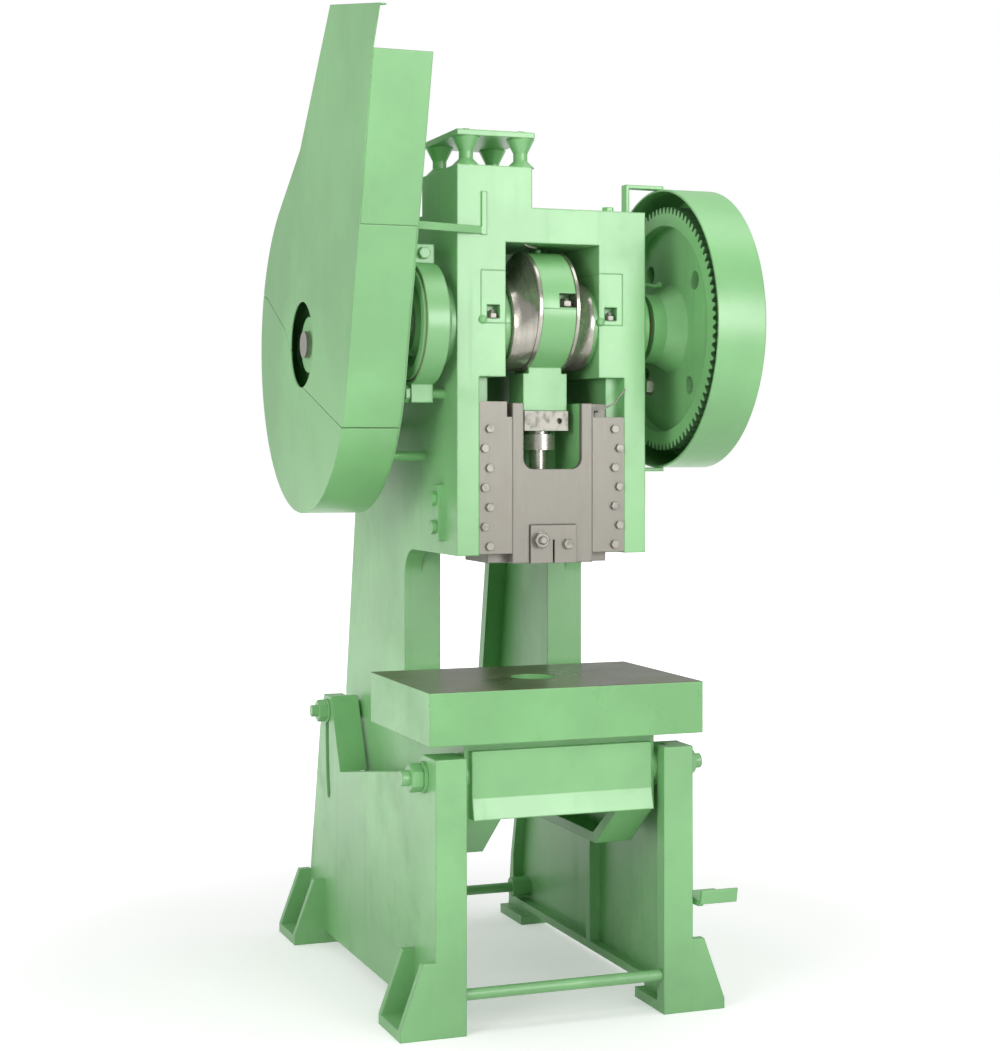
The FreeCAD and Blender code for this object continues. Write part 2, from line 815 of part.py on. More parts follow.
def tapped_spots():
    return (gib_spots(1) + gib_spots(-1) + cap_spots() + bolster_spots() + platform_spots() + side_spots()
            + bracket_spots() + [anchor_spot(), latch_spot()])


def frame_casting():
    right = cheek()
    inner = CHEEK_INNER
    crown = block(f"-{inner}", inner, "head_front", "back_wall_y", "window_top", "head_top")
    tower = block("-cheek_outer", "-tower_inner", "head_front", "head_front + plate_depth", "head_top",
                  "tower_top")
    back = block(f"-{inner}", inner, "back_wall_y", "back_wall_y + back_wall", "head_bottom",
                 "window_top + back_wall")
    bed = block(f"-{inner}", inner, "apron_y", "column_front + flange_depth", "bed_top - bed_plate",
                "bed_top")
    rear = block(f"-{inner}", inner, "column_front", "column_front + frame_wall", "belly_z + frame_wall",
                 "bed_top - bed_plate")
    posts = []
    for x in ("-cheek_outer + post_rad * 2", "-tower_inner - post_rad"):
        for y in ("head_front + post_rad * 2", "head_front + plate_depth - post_rad * 2"):
            posts += platform_post(x, y)
    pads = block("-cheek_outer - lug", "-cheek_outer", "side_pad_y - lug * 1.7", "side_pad_y + lug * 1.7",
                 "side_pad_z", "side_pad_z + side_pad")
    latch_boss = bar("x", "pedal_pin_rad * 1.6", "cheek_outer", "latch_left - gap", "latch_y", "latch_z")
    body = join(right, mirror(right), apron(), crown, tower, back, bed, rear, pads, latch_boss, *posts)
    slug_hole = bar("z", "die_hole_rad + bed_plate / 4", "bed_top - bed_plate", "bed_top", "0", DIE_Y)
    return cut(body, slug_hole, *[hole(*spot) for spot in tapped_spots()])


node("frame_casting", frame_casting())


# ---------------------------------------------------------------- pivot and clamp bolts
def pair(maker):
    """A piece and its twin on the other side, as two solids of one node."""
    piece = maker()
    return group(piece, mirror(piece))


PIVOT_FACE = "leg_outer"
WASHER = "(pivot_rad / 2)"
NUT_HEIGHT = "(pivot_rad * 1.6)"


def pivot_bolt():
    shank = bar("x", "pivot_rad", "flange_inner", "leg_outer + pivot_rad * 3.2", "pivot_y", "pivot_z")
    head = hexagon("x", "pivot_rad * 1.7", "flange_inner - pivot_rad", "flange_inner", "pivot_y", "pivot_z")
    return join(shank, head)


def pivot_washer():
    end = f"{PIVOT_FACE} + {WASHER}"
    return ring("x", "pivot_rad * 2.05", "pivot_rad + run_fit", PIVOT_FACE, end, "pivot_y", "pivot_z")


def pivot_nut():
    return nut("x", "pivot_rad", f"{PIVOT_FACE} + {WASHER}", NUT_HEIGHT, "pivot_y", "pivot_z")


def clamp_bolt():
    shank = bar("x", "clamp_rad", CHEEK_INNER, "leg_outer + clamp_rad * 2.9", "clamp_y", "clamp_z")
    head = hexagon("x", "clamp_rad * 1.9", f"{CHEEK_INNER} - clamp_rad", CHEEK_INNER, "clamp_y", "clamp_z")
    return join(shank, head)


def clamp_nut():
    start = "leg_outer + gap"
    washer = ring("x", "clamp_rad * 2", "clamp_rad + run_fit", start, f"{start} + clamp_rad / 3", "clamp_y",
                  "clamp_z")
    return join(washer, nut("x", "clamp_rad", f"{start} + clamp_rad / 3", "clamp_rad * 1.5", "clamp_y",
                            "clamp_z"))


node("pivot_bolts", pair(pivot_bolt))
node("pivot_washers", pair(pivot_washer))
node("pivot_nuts", pair(pivot_nut))
node("clamp_bolts", pair(clamp_bolt))
node("clamp_nuts", pair(clamp_nut))


def screws(spots):
    return group(*[screw(*spot) for spot in spots])


node("bolster_bolts", screws(bolster_spots()))
node("frame_screws", screws(platform_spots() + side_spots() + bracket_spots()))
node("brake_anchor_pin", screw(*anchor_spot()))
node("latch_pin", screw(*latch_spot()))
node("gib_screws", screws(gib_spots(1) + gib_spots(-1)))


# ---------------------------------------------------------------- bolster
def bolster():
    half = "bolster_width / 2"
    plate = block(f"-{half}", half, "bolster_front", "bolster_front + bolster_depth", "bed_top", BOLSTER_TOP)
    die_hole = bar("z", "die_hole_rad", "bed_top", BOLSTER_TOP, "0", DIE_Y)
    return cut(plate, die_hole, *[hole(*spot) for spot in bolster_spots()])


node("bolster_plate", bolster())


# ---------------------------------------------------------------- main bearings
def bearing_cap():
    """The front half of one main bearing, held down by a nut in its pocket."""
    back = "2 * crank_y - head_front"
    body = block("jamb_inner", "cap_outer", "head_front", back, "crank_z", "cap_top")
    collar = common(
        bar("x", "boss_rad", "boss_inner", "jamb_inner", "crank_y", "crank_z"),
        block("boss_inner", "jamb_inner", "head_front", back, "crank_z", "cap_top"),
    )
    bore = bar("x", "journal_rad + bush_wall + run_fit", "jamb_inner", "cap_outer", "crank_y", "crank_z")
    throat = bar("x", "journal_rad + 2", "boss_inner", "jamb_inner", "crank_y", "crank_z")
    floor = "(crank_z + cap_floor)"
    middle = "(jamb_inner + cap_outer) / 2"
    pocket_half = "cap_pocket / 2"
    nut_space = block(f"{middle} - {pocket_half}", f"{middle} + {pocket_half}", "head_front",
                      "head_front + cap_pocket_depth", floor, f"{floor} + cap_pocket")
    stud_hole = hole(*cap_spots()[0])
    return cut(join(body, collar), bore, throat, nut_space, stud_hole)


def main_bush():
    return ring("x", "journal_rad + bush_wall", "journal_rad + run_fit", "jamb_inner", "boss_outer",
                "crank_y",
                "crank_z")


right_cap = node("right_bearing_cap", bearing_cap())
node("left_bearing_cap", mirror(right_cap))
node("main_bushes", pair(main_bush))
node("cap_studs", screws(cap_spots()))


# ---------------------------------------------------------------- crankshaft
def crankshaft():
    shoulder = "crank_shoulder"
    journal = bar("x", "journal_rad", "web_outer", shoulder, "crank_y", "crank_z")
    disc = bar("x", "web_rad", "web_inner", "web_outer", "crank_y", PIN_Z)
    pin = bar("x", "pin_rad", "-web_inner", "web_inner", "crank_y", PIN_Z)
    gear_end = bar("x", "gear_seat_rad", shoulder, f"{GEAR_RIGHT} + lug * 1.5", "crank_y", "crank_z")
    brake_end = bar("x", "brake_seat_rad", "drum_left - strap", f"-{shoulder}", "crank_y", "crank_z")
    return join(journal, mirror(journal), disc, mirror(disc), pin, gear_end, brake_end)


node("crankshaft", crankshaft())


def brake_drum():
    bore = "(brake_seat_rad + run_fit)"
    hub = "brake_seat_rad * 1.5"
    rim = "drum_rad * 0.83"
    face = "(drum_left + lug)"
    body = turned("Drum", [
        ("drum_left", bore),
        ("drum_left", hub),
        (face, f"{hub} + lug"),
        (face, f"{rim} - lug"),
        ("drum_left", rim),
        ("drum_left", "drum_rad"),
        (DRUM_RIGHT, "drum_rad"),
        (DRUM_RIGHT, rim),
        (f"{face} + lug", rim),
        (f"{face} + lug", hub),
        (DRUM_RIGHT, hub),
        (DRUM_RIGHT, bore),
    ])
    return place(body, "0", "crank_y", "crank_z")


def gear_collar():
    start = f"{GEAR_RIGHT} + gap"
    return ring("x", "gear_seat_rad * 1.4", "gear_seat_rad + run_fit", start, f"{start} + lug",
                "crank_y", "crank_z")


node("brake_drum", brake_drum())
node("gear_collar", gear_collar())


# ---------------------------------------------------------------- brake band
def band_ring(inner, outer, low, high):
    ends = block(low, high, "crank_y - lug", "crank_y + lug", "crank_z", f"crank_z + {outer} + lug")
    return cut(ring("x", outer, inner, low, high, "crank_y", "crank_z"), ends)


def brake_band():
    low = "(drum_left + lining)"
    high = f"({DRUM_RIGHT} - lining)"
    outer = "(drum_rad + lining + band)"
    strip = band_ring("drum_rad + lining", outer, low, high)
    top = f"(crank_z + {outer})"
    foot = f"({top} - lug)"
    front = block(low, high, "crank_y - lug * 2", "crank_y - lug", foot, f"{top} + lug_height")
    back = block(low, high, "crank_y + lug", "crank_y + lug * 2", foot, f"{top} + lug_height")
    base = f"(crank_z - {outer})"
    heel = block(low, high, "crank_y - lug * 1.3", "crank_y + lug * 1.3", f"{base} - lug_height",
                 f"{base} + band")
    clear = bar("x", "drum_rad + lining", low, high, "crank_y", "crank_z")
    across = bar("y", "brake_bolt_rad + run_fit", "crank_y - lug * 2", "crank_y + lug * 2",
                 f"({low} + {high}) / 2", BRAKE_BOLT_Z)
    pin_hole = bar("x", "bolt_rad + run_fit", low, high, "crank_y", BRAKE_ANCHOR_Z)
    return cut(join(strip, front, back, heel), clear, across, pin_hole)


def brake_lining():
    return band_ring("drum_rad + gap", "(drum_rad + lining)", "drum_left + lining", f"{DRUM_RIGHT} - lining")


def brake_bolt():
    middle = f"(drum_left + {DRUM_RIGHT}) / 2"
    reach = "lug * 2"
    shank = bar("y", "brake_bolt_rad", f"crank_y - {reach} - lug", f"crank_y + {reach} + lug * 3", middle,
                BRAKE_BOLT_Z)
    head = hexagon("y", "brake_bolt_rad * 1.9", f"crank_y - {reach} - lug", f"crank_y - {reach}", middle,
                   BRAKE_BOLT_Z)
    end_nut = nut("y", "brake_bolt_rad", "crank_y + lug * 3.8", "lug * 0.9", middle, BRAKE_BOLT_Z)
    return group(join(shank, head), end_nut)


def brake_spring():
    """The coil between the band's rear end and the nut, as one sleeve of its outer size."""
    middle = f"(drum_left + {DRUM_RIGHT}) / 2"
    start = "crank_y + lug * 2"
    return ring("y", "brake_bolt_rad * 1.7", "brake_bolt_rad + gap", start, f"{start} + lug * 1.8", middle,
                BRAKE_BOLT_Z)


node("brake_band", brake_band())
node("brake_lining", brake_lining())
node("brake_bolt", brake_bolt())
node("brake_spring", brake_spring())


# ---------------------------------------------------------------- connecting rod
def rod_stud_spots():
    """The four bolts of the big end, two to each side of it."""
    z = f"({PIN_Z} + lug * 0.7)"
    spots = []
    for y in ("crank_y - rod_stud_y", "crank_y + rod_stud_y"):
        for x in ("-rod_stud_x", "rod_stud_x"):
            shank = (f"{PIN_Z} - rod_stud_rad * 6", f"{z} + rod_stud_rad * 2.4")
            head = (z, f"{z} + rod_stud_rad * 1.5")
            spots.append(("z", "rod_stud_rad", shank, head, x, y))
    return spots


def rod_holes():
    return [hole(*spot) for spot in rod_stud_spots()]


BIG_END = "(web_inner - gap)"


def rod_cap():
    """The upper half of the big end, with a pocket for each nut."""
    disc = bar("x", "big_end_rad", f"-{BIG_END}", BIG_END, "crank_y", PIN_Z)
    upper = block(f"-{BIG_END}", BIG_END, "crank_y - big_end_rad", "crank_y + big_end_rad", PIN_Z,
                  f"{PIN_Z} + big_end_rad")
    bore = bar("x", "pin_rad + pin_bush_wall + run_fit", f"-{BIG_END}", BIG_END, "crank_y", PIN_Z)
    floor = f"({PIN_Z} + lug * 0.7)"
    inner = "(rod_stud_y - rod_stud_rad * 2.1)"
    spaces = []
    for side in (1, -1):
        low = "rod_stud_x - rod_stud_rad * 2"
        x0, x1 = (low, BIG_END) if side > 0 else (f"-{BIG_END}", f"-({low})")
        top = f"{floor} + lug * 1.9"
        spaces.append(block(x0, x1, "crank_y - big_end_rad", f"crank_y - {inner}", floor, top))
        spaces.append(block(x0, x1, f"crank_y + {inner}", "crank_y + big_end_rad", floor, top))
    return cut(common(disc, upper), bore, *spaces, *rod_holes())


def connecting_rod():
    """The lower half of the big end and the shank that holds the screw."""
    disc = bar("x", "big_end_rad", f"-{BIG_END}", BIG_END, "crank_y", PIN_Z)
    lower = block(f"-{BIG_END}", BIG_END, "crank_y - big_end_rad", "crank_y + big_end_rad",
                  f"{PIN_Z} - big_end_rad", PIN_Z)
    bore = bar("x", "pin_rad + pin_bush_wall + run_fit", f"-{BIG_END}", BIG_END, "crank_y", PIN_Z)
    depth = "shank_depth / 2"
    shoulder = f"({PIN_Z} - web_rad - strap)"
    shank = block("-shank_half", "shank_half", f"crank_y - {depth}", f"crank_y + {depth}",
                  "shank_bottom", shoulder)
    neck = block(f"-{BIG_END}", BIG_END, f"crank_y - {depth}", f"crank_y + {depth}", shoulder,
                 f"{PIN_Z} - pin_rad * 1.4")
    thread = bar("z", "screw_rad + run_fit", "shank_bottom", "screw_top", "0", "crank_y")
    return cut(join(common(disc, lower), shank, neck), bore, thread, *rod_holes())


def pin_bush():
    return ring("x", "pin_rad + pin_bush_wall", "pin_rad + run_fit", f"-{BIG_END}", BIG_END, "crank_y",
                PIN_Z)


def ball_screw():
    thread = bar("z", "screw_rad", "collar_top", "screw_top - gap", "0", "crank_y")
    collar = bar("z", "collar_rad", "collar_top - collar_height", "collar_top", "0", "crank_y")
    neck = bar("z", "neck_rad", BALL_Z, "collar_top - collar_height", "0", "crank_y")
    return join(thread, collar, neck, ball("ball_rad", "0", "crank_y", BALL_Z))


def lock_nut():
    half = "shank_half"
    body = block(f"-{half}", half, f"crank_y - {half}", f"crank_y + {half}", LOCK_NUT_BOTTOM, "shank_bottom")
    bore = bar("z", "screw_rad + run_fit", LOCK_NUT_BOTTOM, "shank_bottom", "0", "crank_y")
    grub = bar("y", "stud_rad", f"crank_y - {half}", f"crank_y - {half} + lug", f"{half} * 0.6",
               "shank_bottom - lock_nut_height / 2")
    return cut(body, bore, grub)


oil_cup = bar("z", "strap", f"{PIN_Z} + big_end_rad - gap", f"{PIN_Z} + big_end_rad + lug * 0.7", "0",
              "crank_y")
node("rod_cap", join(rod_cap(), oil_cup))
node("connecting_rod", connecting_rod())
node("pin_bush", pin_bush())
node("rod_studs", screws(rod_stud_spots()))
node("ball_screw", ball_screw())
node("lock_nut", lock_nut())


# ---------------------------------------------------------------- ram
CAVITY_FRONT = "(head_front + retainer)"
CAVITY_BACK = "(ram_back - ram_back_wall)"


def ball_socket():
    """The seat of the ball, widened forward along the path that the ball takes in it."""
    radius = "(ball_rad + gap)"
    low = f"({BALL_Z} - ball_sag)"
    near = "(crank_y - ball_sag)"
    far = "(crank_y - throw - gap)"
    return [
        ball(radius, "0", "crank_y", BALL_Z),
        ball(radius, "0", near, low),
        ball(radius, "0", far, low),
        bar("y", radius, far, near, "0", low),
        block(f"-{radius}", radius, far, "crank_y", low, "ram_floor"),
        bar("z", radius, low, "ram_floor", "0", far),
        bar("z", radius, BALL_Z, "ram_floor", "0", "crank_y"),
    ]


def clamp_stud_spots():
    shank = ("head_front - clamp_block_proud - clamp_stud_rad * 2.6", "crank_y + clamp_stud_rad * 4")
    head = ("head_front - clamp_block_proud - clamp_stud_rad * 1.6", "head_front - clamp_block_proud")
    screw_shank = ("head_front - clamp_block_proud", "crank_y + clamp_stud_rad * 4")
    screw_head = ("head_front - clamp_block_proud - clamp_stud_rad", "head_front - clamp_block_proud")
    return [
        ("y", "clamp_stud_rad", shank, head, "-clamp_stud_x", "clamp_stud_z"),
        ("y", "clamp_stud_rad * 0.65", screw_shank, screw_head, "clamp_stud_x",
         "clamp_stud_z - clamp_stud_rad"),
    ]


def ram():
    face = "(head_front + gib_thick + gap)"
    neck = block("-ram_half", "ram_half", "head_front", face, "ram_bottom", "ram_top")
    wings = block("-ram_wing", "ram_wing", face, "ram_back", "ram_bottom", "ram_top")
    cavity = block("-ram_window", "ram_window", CAVITY_FRONT, CAVITY_BACK, "ram_floor", "ram_top")
    round_rad = "(ram_window * 0.35)"
    flat = f"(ram_window_z + {round_rad})"
    mouth = block("-ram_window", "ram_window", "head_front", CAVITY_FRONT, flat, "ram_top")
    sill = block(f"-ram_window + {round_rad}", f"ram_window - {round_rad}", "head_front", CAVITY_FRONT,
                 "ram_window_z", flat)
    corners = [bar("y", round_rad, "head_front", CAVITY_FRONT, f"{side} * (ram_window - {round_rad})", flat)
               for side in (1, -1)]
    half = "(clamp_block_half + gap)"
    recess = block(f"-{half}", half, "head_front", "crank_y", "ram_bottom", "clamp_block_top + gap")
    bore = bar("z", "shank_hole_rad", "ram_bottom", "clamp_block_top", "0", "crank_y")
    studs = [hole(*spot) for spot in clamp_stud_spots()]
    return cut(join(neck, wings), cavity, mouth, sill, *corners, recess, bore, *ball_socket(), *studs)


def ball_retainer():
    """The plate over the ball; its slot lets the neck swing forward."""
    edge = "(ram_window - gap)"
    top = "(ram_floor + retainer)"
    plate = block(f"-{edge}", edge, f"{CAVITY_FRONT} + gap", f"{CAVITY_BACK} - gap", "ram_floor", top)
    slot = "(neck_rad + gap * 5)"
    path = [
        bar("z", slot, "ram_floor", top, "0", "crank_y"),
        bar("z", slot, "ram_floor", top, "0", "crank_y - throw"),
        block(f"-{slot}", slot, "crank_y - throw", "crank_y", "ram_floor", top),
    ]
    return cut(plate, *path)


def tool_clamp():
    """The front half of the punch shank seat, slit up its middle."""
    front = "(head_front - clamp_block_proud)"
    body = block("-clamp_block_half", "clamp_block_half", front, "crank_y - gap", "ram_bottom",
                 "clamp_block_top")
    bore = bar("z", "shank_hole_rad", "ram_bottom", "clamp_block_top", "0", "crank_y")
    slit = block("-strap / 2", "strap / 2", front, "crank_y", "ram_bottom", "clamp_stud_z")
    return cut(body, bore, slit, *[hole(*spot) for spot in clamp_stud_spots()])


node("ram", ram())
node("ball_retainer", ball_retainer())
node("tool_clamp", tool_clamp())
node("tool_clamp_studs", screws(clamp_stud_spots()))


def gib():
    strip = block("gib_inner", "gib_outer", "head_front", "head_front + gib_thick", "gib_bottom", "gib_top")
    return cut(strip, *[hole(*spot) for spot in gib_spots(1)])


right_gib = node("right_gib", gib())
gib_stop = block("-gib_outer", "-gib_inner - lug", "head_front", "head_front + gib_thick", "gib_top",
                 "gib_top + gib_thick")
node("left_gib", join(mirror(right_gib), gib_stop))


# ---------------------------------------------------------------- gear train
PRESSURE = math.radians(20)
FLANK_STEPS = 3


def toothed_wheel(teeth, start, end, y, z, turn):
    """A spur wheel with involute flanks; turn is the direction of one tooth's middle."""
    module = value("gear_module")
    pitch = module * teeth / 2
    base = pitch * math.cos(PRESSURE)
    tip = pitch + module
    root = pitch - module * 1.25
    half = (math.pi * module / 2 - value("backlash")) / (2 * pitch)

    def spread(radius):
        angle = math.acos(min(1, base / radius))
        return half + (math.tan(PRESSURE) - PRESSURE) - (math.tan(angle) - angle)

    foot = max(base, root)
    radii = [foot + (tip - foot) * step / FLANK_STEPS for step in range(FLANK_STEPS + 1)]
    rising = [(radius, -spread(radius)) for radius in radii]
    falling = [(radius, spread(radius)) for radius in reversed(radii)]
    tooth = [(root, -spread(foot))] + rising + falling + [(root, spread(foot))]
    if root >= base:
        tooth = tooth[1:-1]
    corners = []
    for index in range(teeth):
        middle = turn + 2 * math.pi * index / teeth
        for radius, angle in tooth:
            corners.append(Vector(value(start), value(y) + radius * math.cos(middle + angle),
                                  value(z) + radius * math.sin(middle + angle)))
    face = Part.Face(Part.makePolygon(corners + corners[:1]))
    item = doc.addObject("Part::Feature", "Toothed")
    item.Shape = face.extrude(Vector(value(f"({end}) - ({start})"), 0, 0))
    return item


MESH = math.atan2(value(f"{SHAFT_Z} - crank_z"), value(f"{SHAFT_Y} - crank_y"))
GEAR_WEB_LEFT = "(gear_left + gear_web)"
GEAR_WEB_RIGHT = "(gear_left + gear_web * 2)"


GEAR_HOLE_ANGLE = math.radians(52)


def main_gear():
    teeth = toothed_wheel(SIZES["gear_teeth"], "gear_left", GEAR_RIGHT, "crank_y", "crank_z", MESH)
    left = ring("x", "gear_rim_rad", "gear_hub_rad", "gear_left", GEAR_WEB_LEFT, "crank_y", "crank_z")
    right = ring("x", "gear_rim_rad", "gear_hub_rad", GEAR_WEB_RIGHT, GEAR_RIGHT, "crank_y", "crank_z")
    hub = bar("x", "gear_hub_rad", "gear_hub_left", "gear_left", "crank_y", "crank_z")
    flare = place(bind(doc.addObject("Part::Cone", "Flare"), Radius1="gear_hub_rad",
                       Radius2="gear_hub_rad + gear_web", Height="gear_web * 2"),
                  f"{GEAR_WEB_LEFT} - gear_web * 2", "crank_y", "crank_z", ALONG_X)
    bore = bar("x", "gear_seat_rad + bush_wall + run_fit", "gear_hub_left", GEAR_RIGHT, "crank_y", "crank_z")
    holes = []
    for index in range(4):
        angle = GEAR_HOLE_ANGLE + math.radians(90 * index)
        holes.append(bar("x", "gear_hole_rad", GEAR_WEB_LEFT, GEAR_WEB_RIGHT,
                         f"crank_y + gear_hole_ring * {math.cos(angle)}",
                         f"crank_z + gear_hole_ring * {math.sin(angle)}"))
    return cut(join(cut(teeth, left, right), hub, flare), bore, *holes)


def gear_bush():
    return ring("x", "gear_seat_rad + bush_wall", "gear_seat_rad + run_fit", "gear_hub_left", GEAR_RIGHT,
                "crank_y",
                "crank_z")


node("main_gear", main_gear())
node("gear_bush", gear_bush())

PINION_LEFT = "(gear_left - 2)"
PINION_RIGHT = f"({GEAR_RIGHT} + 2)"


def pinion():
    half_pitch = math.pi / SIZES["pinion_teeth"]
    wheel = toothed_wheel(SIZES["pinion_teeth"], PINION_LEFT, PINION_RIGHT, SHAFT_Y, SHAFT_Z,
                          MESH + math.pi + half_pitch)
    return cut(wheel, bar("x", "pinion_seat_rad + run_fit", PINION_LEFT, PINION_RIGHT, SHAFT_Y, SHAFT_Z))


def back_shaft():
    middle = bar("x", "shaft_rad", "-crank_shoulder", "crank_shoulder", SHAFT_Y, SHAFT_Z)
    right = bar("x", "pinion_seat_rad", "crank_shoulder", f"{PINION_RIGHT} + lug", SHAFT_Y, SHAFT_Z)
    left = bar("x", "flywheel_seat_rad", "flywheel_left - lug", "-crank_shoulder", SHAFT_Y, SHAFT_Z)
    return join(middle, right, left)


def shaft_bush():
    return ring("x", "shaft_rad + bush_wall", "shaft_rad + run_fit", f"{CHEEK_INNER} - frame_wall",
                "boss_outer",
                SHAFT_Y, SHAFT_Z)


def flywheel():
    left = "flywheel_left"
    right = "(flywheel_left + flywheel_width)"
    rim = "(flywheel_rad - flywheel_rim)"
    web_left = "(flywheel_left + (flywheel_width - flywheel_web) / 2)"
    web_right = f"({web_left} + flywheel_web)"
    profile = [(left, "flywheel_seat_rad + run_fit"), (left, "flywheel_hub_rad"),
               (web_left, "flywheel_hub_rad"),
               (web_left, rim), (left, rim), (left, "flywheel_rad")]
    for index in range(4):
        middle = f"{left} + flywheel_width / 2 + groove_pitch * {index - 1.5}"
        profile += [
            (f"{middle} - groove_pitch * 0.42", "flywheel_rad"),
            (f"{middle} - groove_pitch * 0.24", "flywheel_rad - groove_depth"),
            (f"{middle} + groove_pitch * 0.24", "flywheel_rad - groove_depth"),
            (f"{middle} + groove_pitch * 0.42", "flywheel_rad"),
        ]
    profile += [(right, "flywheel_rad"), (right, rim), (web_right, rim), (web_right, "flywheel_hub_rad"),
                (right, "flywheel_hub_rad"), (right, "flywheel_seat_rad + run_fit")]
    wheel = place(turned("Wheel", profile), "0", SHAFT_Y, SHAFT_Z)
    holes = []
    ring_rad = f"(flywheel_hub_rad + {rim}) / 2"
    for index in range(5):
        angle = math.radians(72 * index)
        holes.append(bar("x", "flywheel_hub_rad * 0.8", web_left, web_right,
                         f"{SHAFT_Y} + {ring_rad} * {math.cos(angle)}",
                         f"{SHAFT_Z} + {ring_rad} * {math.sin(angle)}"))
    return cut(wheel, *holes)


node("pinion", pinion())
node("back_shaft", back_shaft())
node("shaft_bushes", pair(shaft_bush))
node("flywheel", flywheel())


# ---------------------------------------------------------------- belt guard
def tangent(radius, y, z, side):
    """Where the line from a point touches the guard's circle."""
    centre_y = value(SHAFT_Y)
    centre_z = value(SHAFT_Z)
    away = math.hypot(y - centre_y, z - centre_z)
    angle = math.atan2(z - centre_z, y - centre_y) + side * math.acos(radius / away)
    return centre_y + radius * math.cos(angle), centre_z + radius * math.sin(angle)


def guard_face(x, corners):
    """A flat sheet: straight edges through the corners, closed by the arc about the shaft."""
    radius = value(GUARD_RAD)
    front = tangent(radius, *corners[0], 1)
    rear = tangent(radius, *corners[-1], -1)
    points = [Vector(x, *spot) for spot in [front] + corners + [rear]]
    edges = [Part.LineSegment(first, second).toShape() for first, second in zip(points, points[1:])]
    lowest = Vector(x, value(SHAFT_Y), value(SHAFT_Z) - radius)
    edges.append(Part.Arc(points[-1], lowest, points[0]).toShape())
    return Part.Face(Part.Wire(edges))


def sheet_item(shape):
    item = doc.addObject("Part::Feature", "Sheet")
    item.Shape = shape
    return item


SEAM_REACH = 700
SEAM = [(-SEAM_REACH, 1195), (-375, 1231), (-14, 1337), (120, 1466), (282, 1546), (SEAM_REACH, 1670)]


def seam(shift):
    """Everything under the sloping seam of the two front covers."""
    rise = value("strap") * shift
    line = [(y, z + rise) for y, z in SEAM]
    corners = line + [(SEAM_REACH, 0), (-SEAM_REACH, 0)]
    points = [Vector(value("guard_left"), y, z) for y, z in corners]
    face = Part.Face(Part.makePolygon(points + points[:1]))
    return sheet_item(face.extrude(Vector(value("guard_width"), 0, 0)))


SHEET = value("guard_sheet")
CREST = "(guard_top + guard_crest_rise)"
LIP = [
    (value("guard_front_y"), value("guard_top")),
    (value("guard_lip_y"), value("guard_top + guard_lip_rise")),
    (value("guard_crest_y"), value(CREST)),
    (value("guard_nape_y"), value("guard_top + guard_nape_rise")),
    (value("guard_knee_y"), value("guard_top - guard_knee_drop")),
]


def along_edge(first, second, z):
    share = (z - first[1]) / (second[1] - first[1])
    return first[0] + share * (second[0] - first[0]), z


MOUTH_TOP = value("guard_top + guard_mouth_rise")
FRONT_FOOT = tangent(value(GUARD_RAD), *LIP[0], 1)
BOX = [along_edge(FRONT_FOOT, LIP[0], MOUTH_TOP), along_edge(LIP[3], LIP[4], MOUTH_TOP), LIP[4]]


def guard_plate(x, corners):
    return sheet_item(guard_face(x, corners).extrude(Vector(SHEET, 0, 0)))


def guard_band():
    left = value("guard_left") + SHEET
    width = value("guard_width") - 2 * SHEET
    outer = guard_face(left, BOX)
    inner = outer.makeOffset2D(-SHEET)
    return sheet_item(outer.extrude(Vector(width, 0, 0)).cut(inner.extrude(Vector(width, 0, 0))))


def slab(low, high):
    """The whole width of the guard between two heights."""
    return block("guard_left", GUARD_RIGHT, f"-{SEAM_REACH}", f"{SEAM_REACH}", low, high)


def guard_window(radius, left, right):
    return bar("x", radius, left, right, SHAFT_Y, SHAFT_Z)


GUARD_INNER = "(guard_left + guard_sheet)"
back_plate = cut(guard_plate(value(GUARD_RIGHT) - SHEET, BOX), slab("guard_top", CREST),
                 guard_window("shaft_boss_rad", f"{GUARD_RIGHT} - guard_sheet", GUARD_RIGHT))
chute_band = cut(guard_band(), slab("0", "guard_split_z + gap"), slab("guard_top", CREST))
GUARD_POSTS = (("-130", "1630"), ("120", "1250"), ("-200", "1180"))
guard_posts = [bar("x", "bolt_rad", GUARD_RIGHT, "-cheek_outer", y, z) for y, z in GUARD_POSTS]
node("belt_guard_back", join(back_plate, chute_band, *guard_posts))
front_sheet = cut(guard_plate(value("guard_left"), LIP),
                  guard_window("guard_hub_rad", "guard_left", GUARD_INNER))
lip_edge = sheet_item(Part.Face(Part.makePolygon([
    Vector(value(GUARD_INNER), *LIP[1]), Vector(value(GUARD_INNER), *LIP[2]),
    Vector(value(GUARD_INNER), LIP[2][0] - SHEET, LIP[2][1] - SHEET * 2),
    Vector(value(GUARD_INNER), LIP[1][0] + SHEET, LIP[1][1] - SHEET), Vector(value(GUARD_INNER), *LIP[1]),
])).extrude(Vector(value("lug"), 0, 0)))
upper_band = cut(guard_band(), slab("guard_split_z - gap", CREST))
node("belt_guard_upper_cover", cut(join(front_sheet, upper_band, lip_edge), seam(0.5)))
lower_sheet = common(front_sheet, seam(0))
lower_band = common(upper_band, seam(0))
node("belt_guard_lower_cover", join(lower_sheet, lower_band))


